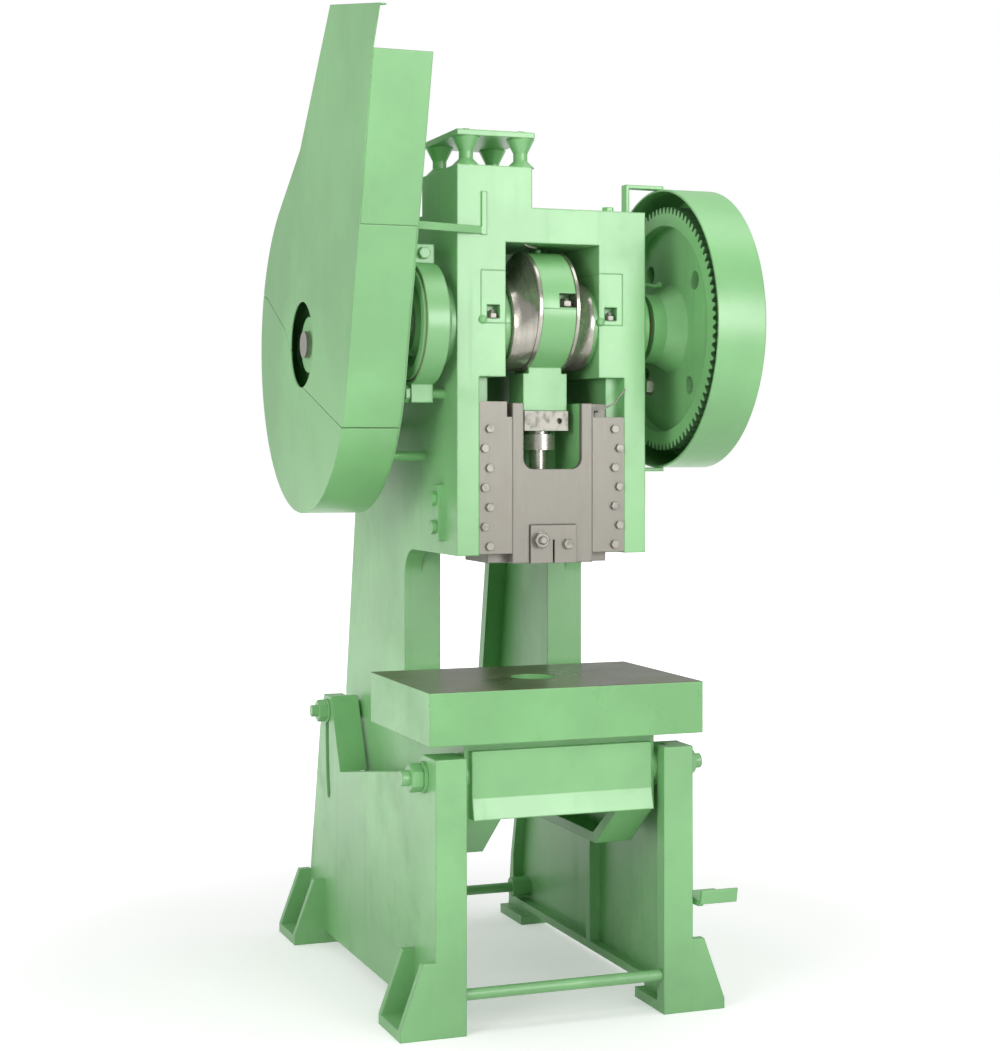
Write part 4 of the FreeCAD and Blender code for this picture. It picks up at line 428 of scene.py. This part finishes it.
def bronze_material(name):
    """Bronze that has tarnished in patches, with the marks of its boring."""
    board, shader = new_material(name)
    patches = board.between(board.noise(board.place(), 40.0, 6.0), 0.4, 0.7)
    tone = board.blend(patches, opaque(finishes().bronze), opaque(finishes().bronze, 0.6))
    surface(board, shader, tone, board.maths("MULTIPLY_ADD", patches, 0.2, 0.5), 0.85)
    bumped(board, shader, rings_about(board, CRANK_AXIS)["Height"], 0.3, 0.0002)


def lining_material(name):
    """Woven friction lining."""
    board, shader = new_material(name)
    spot = board.place()
    weave = board.add("ShaderNodeTexWave", {"bands_direction": "X"}, Vector=spot, Scale=180.0, Distortion=1.5)
    fibres = board.noise(spot, 300.0, 4.0)
    tone = board.blend(fibres, opaque(finishes().lining), opaque(finishes().lining, 2.2))
    surface(board, shader, tone, 0.85)
    bumped(board, shader, weave.outputs["Fac"], 0.5, 0.0006)


# ---------------------------------------------------------------- pieces
def dress(material_name, *names):
    """Gives carried-over CAD nodes their finish."""
    material = bpy.data.materials[material_name]
    for name in names:
        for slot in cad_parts[name].material_slots:
            slot.material = material


def new_piece(name, mesh, body, material_name, slot, *nodes):
    """A piece of the scene that rides on a body and may stand for CAD nodes."""
    mesh.name = name
    piece = bpy.data.objects.new(name, mesh)
    bpy.context.scene.collection.objects.link(piece)
    piece.data.materials.append(bpy.data.materials[material_name])
    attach(piece, body)
    if nodes:
        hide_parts(*nodes)


def skin(work, loops):
    """Faces between neighbouring loops of points and over both ends."""
    for first, second in zip(loops, loops[1:]):
        for index in range(len(first)):
            after = (index + 1) % len(first)
            work.faces.new((first[index], first[after], second[after], second[index]))
    work.faces.new(list(reversed(loops[0])))
    work.faces.new(loops[-1])


def axis_tube(points, radius, sides=10):
    """A round wire along a list of points, closed at both ends."""
    work = bmesh.new()
    loops = []
    for index, point in enumerate(points):
        ahead = points[min(index + 1, len(points) - 1)]
        behind = points[max(index - 1, 0)]
        turn = (ahead - behind).to_track_quat("Z", "Y").to_matrix()
        loop = []
        for side in range(sides):
            angle = 2 * math.pi * side / sides
            offset = turn @ Vector((math.cos(angle) * radius, math.sin(angle) * radius, 0))
            loop.append(work.verts.new(point + offset))
        loops.append(loop)
    skin(work, loops)
    for face in work.faces:
        face.smooth = len(face.verts) == 4
    mesh = bpy.data.meshes.new("tube")
    work.to_mesh(mesh)
    work.free()
    return mesh


def solids_of(name):
    """The boxes of the separate solids in a CAD node, as (low, high) corners, in order of place."""
    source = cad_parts[name]
    work = bmesh.new()
    work.from_mesh(source.data)
    bmesh.ops.remove_doubles(work, verts=work.verts, dist=1e-6)
    unseen = set(work.verts)
    boxes = []
    while unseen:
        stack = [unseen.pop()]
        spots = []
        while stack:
            vertex = stack.pop()
            spots.append(source.matrix_world @ vertex.co)
            for edge in vertex.link_edges:
                other = edge.other_vert(vertex)
                if other in unseen:
                    unseen.remove(other)
                    stack.append(other)
        low = Vector(min(spot[axis] for spot in spots) for axis in range(3))
        high = Vector(max(spot[axis] for spot in spots) for axis in range(3))
        boxes.append((low, high))
    work.free()
    return sorted(boxes, key=lambda box: tuple(box[0]))


def hexagon_reach(angle, corner):
    """How far a hexagon reaches in one direction; corner is its largest radius."""
    turn = angle % (math.pi / 3) - math.pi / 6
    return corner * math.cos(math.pi / 6) / math.cos(turn)


def stack_rings(work, place, turn, rings, sides=0):
    """Skins a stack of rings; a ring gives its radius, height and perhaps offset at an angle."""
    count = sides or sizes().head_sides
    loops = []
    for ring in rings:
        loop = []
        for index in range(count):
            angle = 2 * math.pi * index / count
            radius, height, *offset = ring(angle)
            spot = Vector((radius * math.cos(angle), radius * math.sin(angle), height))
            spot += offset[0] if offset else Vector()
            loop.append(work.verts.new(place + turn @ spot))
        loops.append(loop)
    skin(work, loops)


def round_rings(*profile):
    """Ring functions of a round shape, from a (radius, height) or (radius, height, offset) each."""
    return [lambda angle, ring=ring: ring for ring in profile]


def add_hex(work, place, turn, corner, height):
    """A nut or screw head whose outer corners are turned back."""
    flat = corner * math.cos(math.pi / 6) * 0.97
    slope = math.tan(math.radians(30))
    stack_rings(work, place, turn, [
        lambda angle: (flat, 0),
        lambda angle: (hexagon_reach(angle, corner), (hexagon_reach(angle, corner) - flat) * slope * 0.5),
        lambda angle: (hexagon_reach(angle, corner), height - (hexagon_reach(angle, corner) - flat) * slope),
        lambda angle: (flat, height),
    ])


def add_thread(work, place, turn, radius, height):
    """The threaded end of a stud, with a turned tip."""
    pitch = sizes().thread_pitch
    root, tip, chamfer = radius * 0.93, radius * 0.72, radius * 0.2
    profile = [(root, 0)]
    for step in range(max(int(height / pitch), 1) - 1):
        start = (step + 0.25) * pitch
        profile += [(root, start), (radius, start + pitch / 2)]
    profile += [(root, height - chamfer), (tip, height)]
    stack_rings(work, place, turn, round_rings(*profile))


def add_washer(work, place, turn, radius, height):
    chamfer = height * 0.3
    rings = round_rings((radius, 0), (radius, height - chamfer), (radius - chamfer, height))
    stack_rings(work, place, turn, rings)


def half_ring(radius, bore, front, pocket):
    """The (y, z) outlines of a half ring and of the wall of its pocket.

    The pocket's inner end, floor and top are given; it is cut into the side that front points to.
    """
    inner, floor, top = pocket
    outer_steps, inner_steps = 48, 24
    low, high = math.asin(floor / radius), math.asin(top / radius)
    angles = [math.pi * step / outer_steps for step in range(outer_steps + 1)]
    angles = sorted(angles + [low, high, math.pi - low, math.pi - high])
    arc = [(radius * math.cos(angle), radius * math.sin(angle)) for angle in angles]
    first, last = angles.index(low), angles.index(high)
    outline = arc[:first + 1] + [(inner, floor), (inner, top)] + arc[last:]
    for step in range(inner_steps, -1, -1):
        angle = math.pi * step / inner_steps
        outline.append((bore * math.cos(angle), bore * math.sin(angle)))
    wall = arc[first:last + 1] + [(inner, top), (inner, floor)]
    return [[(front * y, z) for y, z in spots] for spots in (outline, wall)]


def add_slab(work, place, outline, end):
    """A (y, z) outline carried along X from the open middle to its closed end."""
    sides = [[work.verts.new(place + Vector((x, y, z))) for y, z in outline] for x in (0, end)]
    for index in range(len(outline)):
        after = (index + 1) % len(outline)
        work.faces.new((sides[0][index], sides[0][after], sides[1][after], sides[1][index]))
    work.faces.new(sides[1])


def add_turned(work, turn, profile):
    """A shape turned about axes along X, from (distance, radius, centre) rings."""
    rings = [(radius, distance, turn.inverted() @ centre) for distance, radius, centre in profile]
    stack_rings(work, Vector(), turn, round_rings(*rings), SHAFT_SIDES)


def finish_mesh(work):
    """Closes a mesh under construction and gives it smooth faces with sharp corners."""
    mesh = bpy.data.meshes.new("finished")
    bmesh.ops.recalc_face_normals(work, faces=work.faces)
    for face in work.faces:
        face.smooth = True
    for edge in work.edges:
        if len(edge.link_faces) == 2 and edge.calc_face_angle(0) > math.radians(24):
            edge.smooth = False
    work.to_mesh(mesh)
    work.free()
    return mesh


# For each way that a head may face: the turn, the number of its axis and which corner of the box it is at
FACING = {
    "-y": (Matrix.Rotation(math.radians(90), 3, "X"), 1, 0),
    "+z": (Matrix.Identity(3), 2, 1),
    "+x": (Matrix.Rotation(math.radians(90), 3, "Y"), 0, 1),
    "-x": (Matrix.Rotation(math.radians(-90), 3, "Y"), 0, 0),
}

# The radius of a stud, the height of its nut and how far the stud stands out of it
CAP_STUD = (0.006, 0.0102, 0.0078)
ROD_STUD = (0.0078, 0.012, 0.0072)
CLAMP_STUD = (0.009, 0.0144, 0.009)

# (radius, height) rings of two small turned fittings
OIL_NIPPLE = ((0.009, -0.002), (0.009, 0.002), (0.0078, 0.0055), (0.0045, 0.008), (0.0012, 0.009))
OIL_CUP = ((0.0065, 0), (0.0065, 0.006), (0.005, 0.0084))

DRIP_ROUTE = ((-0.060, -0.402, 1.631), (-0.058, -0.402, 1.626), (-0.048, -0.400, 1.6225),
              (-0.030, -0.396, 1.6205))
DRIP_RADIUS = 0.0022
SHAFT_SIDES = 96


def head_place(box, facing):
    """The middle of the box's end that a head faces, and the turn that faces it."""
    turn, axis, end = FACING[facing]
    place = (box[0] + box[1]) / 2
    place[axis] = box[end][axis]
    return place, turn


def add_stud(work, box, facing, radius, nut_height, tip):
    """A nut on its washer with the threaded end of a stud standing out by tip, at the end of a box."""
    place, turn = head_place(box, facing)
    outward = turn @ Vector((0, 0, 1))
    depth = nut_height + tip
    nut_corner, nut_depth = radius * 1.9, depth * 0.98
    washer_radius, washer_height = radius * 2.1, nut_height * 0.12
    thread_radius, thread_length = radius * 0.98, tip + radius * 0.3
    add_washer(work, place - outward * depth, turn, washer_radius, washer_height)
    add_hex(work, place - outward * nut_depth, turn, nut_corner, nut_height)
    add_thread(work, place - outward * thread_length, turn, thread_radius, thread_length)


# ---------------------------------------------------------------- operators
class PRESS_OT_effects(bpy.types.Operator):
    """Build the shared surface effects and every finish"""

    bl_idname = "press.effects"
    bl_label = "Surface Effects"

    def execute(self, context):
        for build in (foundry_skin, worn_edges, shop_dust, lathe_rings, ground_strokes):
            build()
        enamel_material("Casting Enamel", 0.5)
        enamel_material("Stand Enamel", 0.75)
        enamel_material("Sheet Enamel", 0.3)
        gear_material("Gear Finish")
        bolster_material("Bolster Finish")
        machined_iron("Machined Iron")
        ram_material("Ram Finish")
        turned_steel("Crank Steel", CRANK_AXIS, 0.22)
        turned_steel("Shaft Steel", SHAFT_AXIS, 0.28)
        fastener_steel("Fastener Steel")
        bright_fitting("Bright Fitting", finishes().bright, 0.35, 0.38)
        bright_fitting("Screw Steel", finishes().steel, 0.8, 0.24)
        bronze_material("Bearing Bronze")
        lining_material("Brake Lining")
        return {"FINISHED"}


class PRESS_OT_stands(bpy.types.Operator):
    """Dress the two side stands, their tie rods and the tilting bolts"""

    bl_idname = "press.stands"
    bl_label = "Stands"

    def execute(self, context):
        dress("Stand Enamel", "left_leg", "right_leg", "front_tie_rod", "rear_tie_rod")
        dress("Stand Enamel", "pivot_bolts", "pivot_washers", "clamp_bolts")
        self.cut_nuts("pivot_nuts", "stand", 1.0, 1.0)
        self.cut_nuts("clamp_nuts", "tilting_frame", 0.95, 0.82)
        return {"FINISHED"}

    def cut_nuts(self, nuts, body, width, share):
        """Chamfered nuts; what their share leaves of the depth is a washer."""
        work = bmesh.new()
        for low, high in solids_of(nuts):
            place, turn = head_place((low, high), "+x" if high.x > 0 else "-x")
            outward = turn @ Vector((0, 0, 1))
            depth = high.x - low.x
            corner = (high.z - low.z) / 2 * width
            add_hex(work, place - outward * depth * share, turn, corner, depth * share)
            if share < 1.0:
                add_washer(work, place - outward * depth, turn, corner * 1.05, depth * (1 - share))
        new_piece(nuts + "_chamfered", finish_mesh(work), body, "Stand Enamel", "green_paint", nuts)


class PRESS_OT_casting(bpy.types.Operator):
    """Dress the tilting frame with its caps and screws"""

    bl_idname = "press.casting"
    bl_label = "Frame Casting"

    def execute(self, context):
        dress("Casting Enamel", "frame_casting", "left_bearing_cap", "right_bearing_cap", "motor_plate",
              "frame_screws")
        dress("Fastener Steel", "bolster_bolts")
        dress("Bearing Bronze", "main_bushes", "shaft_bushes")
        studs = solids_of("cap_studs")
        self.screw_nipples(studs)
        pipe = axis_tube([Vector(spot) for spot in DRIP_ROUTE], DRIP_RADIUS)
        new_piece("drip_pipe", pipe, "tilting_frame", "Bright Fitting", "bright_steel")
        work = bmesh.new()
        for box in studs:
            add_stud(work, box, "+z", *CAP_STUD)
        new_piece("cap_nuts", finish_mesh(work), "tilting_frame", "Bright Fitting", "bright_steel",
                  "cap_studs")
        return {"FINISHED"}

    def screw_nipples(self, studs):
        """An oil nipple in each cap's front, to the left of its stud and below the stud's end."""
        aside, below = 0.024, 0.021
        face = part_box("left_bearing_cap")[0].y
        work = bmesh.new()
        for low, high in studs:
            place = Vector(((low.x + high.x) / 2 - aside, face, high.z - below))
            stack_rings(work, place, FACING["-y"][0], round_rings(*OIL_NIPPLE))
        new_piece("oil_nipples", finish_mesh(work), "tilting_frame", "Casting Enamel", "green_paint")


class PRESS_OT_bolster(bpy.types.Operator):
    """Dress the bolster plate"""

    bl_idname = "press.bolster"
    bl_label = "Bolster"

    def execute(self, context):
        dress("Bolster Finish", "bolster_plate")
        return {"FINISHED"}


class PRESS_OT_crank_train(bpy.types.Operator):
    """Dress the crankshaft, connecting rod and slide screw"""

    bl_idname = "press.crank_train"
    bl_label = "Crank Train"

    def execute(self, context):
        dress("Crank Steel", "gear_collar")
        dress("Bright Fitting", "lock_nut")
        dress("Screw Steel", "ball_screw")
        dress("Casting Enamel", "connecting_rod")
        dress("Bearing Bronze", "pin_bush")
        self.turn_crankshaft()
        self.cut_rod_cap()
        self.seat_rod_nuts()
        return {"FINISHED"}

    def turn_crankshaft(self):
        """The shaft, and its two webs that fall away in a bell to the rings that run on the bearings."""
        low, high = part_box("crankshaft")
        crank = Vector((0, *CRANK_AXIS))
        pin = Vector((0, *axis_of("pin_bush")))
        inner, outer, web = 0.038, 0.062, high.z - pin.z
        journal, pin_radius, shoulder, chamfer = 0.050, 0.055, 0.230, 0.002
        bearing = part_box("right_bearing_cap")[0].x - sizes().side_play
        work = bmesh.new()
        for facing, end, seat in (("+x", high.x, 0.045), ("-x", -low.x, 0.040)):
            turn = FACING[facing][0]
            shaft = [(outer, journal), (shoulder - 0.0001, journal), (shoulder, journal - 0.0005),
                     (shoulder + 0.0001, seat), (end - chamfer, seat), (end, seat - chamfer)]
            add_turned(work, turn, [(distance, radius, crank) for distance, radius in shaft])
            add_turned(work, turn, self.web_profile(inner, bearing, web, pin, crank))
        add_turned(work, FACING["+x"][0], [(-inner, pin_radius, pin), (inner, pin_radius, pin)])
        new_piece("crankshaft_turned", finish_mesh(work), "crank", "Crank Steel", "bright_steel",
                  "crankshaft")

    def web_profile(self, inner, bearing, web, pin, crank):
        """Rim about the pin's axis, then a hollow slope to a ring about the shaft's axis."""
        ring = sizes().ring_radius
        chamfer, rim_end = 0.0015, inner + 0.007
        slope_start, slope_end, slope_top = inner + 0.0095, bearing - 0.004, web - 0.004
        steps, hollow = 8, 2.2
        profile = [(inner, web - 0.012, pin), (inner, web - chamfer, pin), (inner + 0.001, web, pin),
                   (rim_end, web, pin), (rim_end + 0.002, web - chamfer, pin)]
        for step in range(steps + 1):
            share = step / steps
            fall = 1 - (1 - share) ** hollow
            distance = slope_start + (slope_end - slope_start) * share
            profile.append((distance, slope_top + (ring - slope_top) * fall, pin.lerp(crank, fall)))
        return profile + [(bearing - 0.001, ring, crank), (bearing, ring - chamfer, crank)]

    def cut_rod_cap(self):
        """The upper half of the big end, with one nut pocket to each side and an oil cup on top."""
        low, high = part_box("rod_cap")
        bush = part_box("pin_bush")
        radius, bore = (high.y - low.y) / 2, (bush[1].y - bush[0].y) / 2
        pin = Vector((0, (low.y + high.y) / 2, low.z))
        pocket = (0.0853, 0.003, 0.033)
        sunk = 0.001
        work = bmesh.new()
        for end, front in ((low.x, 1), (high.x, -1)):
            outline, wall = half_ring(radius, bore, front, pocket)
            add_slab(work, pin, outline, end)
            work.faces.new([work.verts.new(pin + Vector((0, y, z))) for y, z in wall])
        bmesh.ops.remove_doubles(work, verts=work.verts, dist=1e-6)
        stack_rings(work, pin + Vector((0, 0, radius - sunk)), FACING["+z"][0], round_rings(*OIL_CUP))
        new_piece("rod_cap_cut", finish_mesh(work), "rod", "Casting Enamel", "green_paint", "rod_cap")

    def seat_rod_nuts(self):
        """The two of the four studs that stand in the cap's pockets."""
        work = bmesh.new()
        for box in solids_of("rod_studs"):
            middle = (box[0] + box[1]) / 2
            if middle.x * (middle.y - CRANK_AXIS[0]) < 0:
                add_stud(work, box, "+z", *ROD_STUD)
        new_piece("rod_nuts", finish_mesh(work), "rod", "Bright Fitting", "bright_steel", "rod_studs")


class PRESS_OT_ram(bpy.types.Operator):
    """Dress the ram, its gibs and the tool clamp"""

    bl_idname = "press.ram"
    bl_label = "Ram and Gibs"

    def execute(self, context):
        dress("Machined Iron", "tool_clamp", "left_gib", "right_gib")
        dress("Ram Finish", "ram", "ball_retainer")
        dress("Bright Fitting", "gib_oil_pipe")
        dress("Casting Enamel", "hub_oil_pipe")
        self.screw_tool_clamp()
        self.screw_gibs()
        return {"FINISHED"}

    def screw_tool_clamp(self):
        """A nut on the stud that stands further out and a plain screw head on the other."""
        stud, screw = sorted(solids_of("tool_clamp_studs"), key=lambda box: box[0].y)
        corner, height, washer_radius, washer_height = 0.0109, 0.009, 0.0115, 0.0015
        work = bmesh.new()
        add_stud(work, stud, "-y", *CLAMP_STUD)
        place, turn = head_place(screw, "-y")
        place.y += height
        add_washer(work, place, turn, washer_radius, washer_height)
        add_hex(work, place, turn, corner, height)
        new_piece("tool_clamp_nuts", finish_mesh(work), "ram", "Bright Fitting", "bright_steel",
                  "tool_clamp_studs")

    def screw_gibs(self):
        """Chamfered heads as wide as the solid ones."""
        work = bmesh.new()
        for box in solids_of("gib_screws"):
            place, turn = head_place(box, "-y")
            corner = (box[1].x - box[0].x) / 2
            height = corner * 0.74
            place.y += height
            add_hex(work, place, turn, corner * 0.99, height)
        new_piece("gib_screw_heads", finish_mesh(work), "tilting_frame", "Bright Fitting", "bright_steel",
                  "gib_screws")


class PRESS_OT_gearing(bpy.types.Operator):
    """Dress the gears, back shaft and flywheel"""

    bl_idname = "press.gearing"
    bl_label = "Gears and Flywheel"

    def execute(self, context):
        dress("Gear Finish", "main_gear")
        dress("Shaft Steel", "pinion", "back_shaft")
        dress("Bearing Bronze", "gear_bush")
        dress("Casting Enamel", "flywheel")
        return {"FINISHED"}


class PRESS_OT_brake(bpy.types.Operator):
    """Dress the band brake and wind its spring"""

    bl_idname = "press.brake"
    bl_label = "Band Brake"

    def execute(self, context):
        dress("Casting Enamel", "brake_drum", "brake_band", "brake_bolt", "brake_anchor_pin")
        dress("Brake Lining", "brake_lining")
        self.wind_spring()
        return {"FINISHED"}

    def wind_spring(self):
        """A coil along Y that fills the box of the solid spring."""
        low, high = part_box("brake_spring")
        middle = (low + high) / 2
        wire = sizes().spring_wire / 2
        reach = (high.x - low.x) / 2 - wire
        turns, points_per_turn = sizes().spring_turns, 16
        steps = turns * points_per_turn
        points = []
        for step in range(steps + 1):
            share = step / steps
            angle = share * turns * 2 * math.pi
            y = low.y + wire + share * (high.y - low.y - 2 * wire)
            points.append(Vector((middle.x + reach * math.cos(angle), y, middle.z + reach * math.sin(angle))))
        new_piece("brake_spring_coil", axis_tube(points, wire), "tilting_frame", "Fastener Steel",
                  "bright_steel", "brake_spring")


class PRESS_OT_guards(bpy.types.Operator):
    """Dress the belt guard and the gear cover"""

    bl_idname = "press.guards"
    bl_label = "Guards"

    def execute(self, context):
        dress("Sheet Enamel", "belt_guard_back", "belt_guard_upper_cover", "belt_guard_lower_cover",
              "guard_strap", "gear_cover", "upper_cover_arm", "lower_cover_arm")
        return {"FINISHED"}


class PRESS_OT_treadle(bpy.types.Operator):
    """Dress the treadle, pull rod and clutch latch"""

    bl_idname = "press.treadle"
    bl_label = "Treadle"

    def execute(self, context):
        dress("Stand Enamel", "pedal", "pedal_bracket")
        dress("Shaft Steel", "pull_rod", "clutch_latch")
        dress("Fastener Steel", "latch_pin")
        return {"FINISHED"}


class PRESS_OT_stage(bpy.types.Operator):
    """Lay the floor, hang the lamps and stand the camera"""

    bl_idname = "press.stage"
    bl_label = "Stage"

    def execute(self, context):
        settings = context.scene.stage_settings
        self.lay_floor(settings)
        self.light_world(context)
        self.hang_lamps()
        self.stand_camera(context, settings)
        context.scene.view_settings.view_transform = "Standard"
        return {"FINISHED"}

    def lay_floor(self, settings):
        """A pale floor that glows to white away from the press."""
        half = settings.floor_half
        mesh = bpy.data.meshes.new("studio_floor")
        corners = [(-half, -half, 0), (half, -half, 0), (half, half, 0), (-half, half, 0)]
        mesh.from_pydata(corners, [], [(0, 1, 2, 3)])
        floor = bpy.data.objects.new("studio_floor", mesh)
        bpy.context.scene.collection.objects.link(floor)
        board, shader = new_material("Studio Floor")
        surface(board, shader, opaque(settings.floor_colour), 0.9)
        shader.inputs["Emission Color"].default_value = (1, 1, 1, 1)
        path = board.add("ShaderNodeLightPath").outputs
        seen = board.maths("MAXIMUM", path["Is Camera Ray"], path["Is Glossy Ray"])
        away = board.add("ShaderNodeVectorMath", {"operation": "LENGTH"}, Vector=board.place())
        far = board.between(away.outputs["Value"], 0.9, 2.8, 0.35, 1.0)
        board.feed(shader.inputs["Emission Strength"], board.maths("MULTIPLY", seen, far))
        mesh.materials.append(bpy.data.materials["Studio Floor"])

    def light_world(self, context):
        """White to the camera, greyer in reflections and greyer still as the light on the press."""
        mirrored, ambient = 0.6, 0.44
        world = bpy.data.worlds.new("Studio")
        context.scene.world = world
        world.use_nodes = True
        board = Board(world.node_tree)
        background = world.node_tree.nodes["Background"]
        path = board.add("ShaderNodeLightPath").outputs
        seen = board.maths("MAXIMUM", path["Is Camera Ray"], path["Is Transmission Ray"])
        seen = board.maths("MAXIMUM", seen, board.maths("MULTIPLY", path["Is Glossy Ray"], mirrored))
        background.inputs["Color"].default_value = (1, 1, 1, 1)
        board.feed(background.inputs["Strength"], board.maths("MAXIMUM", seen, ambient))

    def hang_lamps(self):
        """Area lamps that all face the middle of the press."""
        middle = Vector((0, -0.1, 1.1))
        # Each pair says whether a lamp gives diffuse light and whether it shows in reflections
        both, soft, sheen = (True, True), (True, False), (False, True)
        lamps = (
            ("sheen", (1.75, -4.9, 2.1), 2.0, 130, sheen),
            ("key", (1.5, -4.9, 2.0), 1.6, 46, soft),
            ("front", (-0.4, -5.6, 3.6), 3.0, 37, both),
            ("left", (-3.3, -2.6, 2.2), 1.6, 46, soft),
            ("top", (0.8, -0.8, 4.6), 2.6, 45, both),
            ("rim", (-3.5, 3.0, 3.5), 3.0, 30, soft),
        )
        for name, place, size, power, seen_by in lamps:
            data = bpy.data.lights.new(name, "AREA")
            data.size = size
            data.energy = power
            lamp = bpy.data.objects.new(name, data)
            lamp.location = place
            lamp.visible_diffuse, lamp.visible_glossy = seen_by
            lamp.rotation_euler = (middle - Vector(place)).to_track_quat("-Z", "Y").to_euler()
            bpy.context.scene.collection.objects.link(lamp)

    def stand_camera(self, context, settings):
        data = bpy.data.cameras.new("camera")
        data.lens = settings.focal_pixels * data.sensor_width / settings.image_height
        data.shift_y = (settings.horizon_row - settings.image_height / 2) / settings.image_height
        data.clip_end = 200
        camera = bpy.data.objects.new("camera", data)
        camera.location = settings.camera_place
        camera.rotation_euler = (math.radians(90), 0, -settings.camera_yaw)
        context.scene.collection.objects.link(camera)
        context.scene.camera = camera


OPERATORS = (
    PRESS_OT_effects,
    PRESS_OT_stands,
    PRESS_OT_casting,
    PRESS_OT_bolster,
    PRESS_OT_crank_train,
    PRESS_OT_ram,
    PRESS_OT_gearing,
    PRESS_OT_brake,
    PRESS_OT_guards,
    PRESS_OT_treadle,
    PRESS_OT_stage,
)


class PRESS_PT_panel(bpy.types.Panel):
    """Lists the steps that dress the press"""

    bl_idname = "PRESS_PT_panel"
    bl_label = "Power Press"
    bl_space_type = "VIEW_3D"
    bl_region_type = "UI"
    bl_category = "Press"

    def draw(self, context):
        for operator in OPERATORS:
            self.layout.operator(operator.bl_idname)


CLASSES = (PressFinishes, PressSizes, StageSettings) + OPERATORS + (PRESS_PT_panel,)


def register():
    for cls in CLASSES:
        bpy.utils.register_class(cls)
    bpy.types.Scene.press_finishes = PointerProperty(type=PressFinishes)
    bpy.types.Scene.press_sizes = PointerProperty(type=PressSizes)
    bpy.types.Scene.stage_settings = PointerProperty(type=StageSettings)


def unregister():
    del bpy.types.Scene.stage_settings
    del bpy.types.Scene.press_sizes
    del bpy.types.Scene.press_finishes
    for cls in reversed(CLASSES):
        bpy.utils.unregister_class(cls)


def main():
    register()
    for operator in OPERATORS:
        group, name = operator.bl_idname.split(".")
        getattr(getattr(bpy.ops, group), name)()


if __name__ == "__main__":
    main()
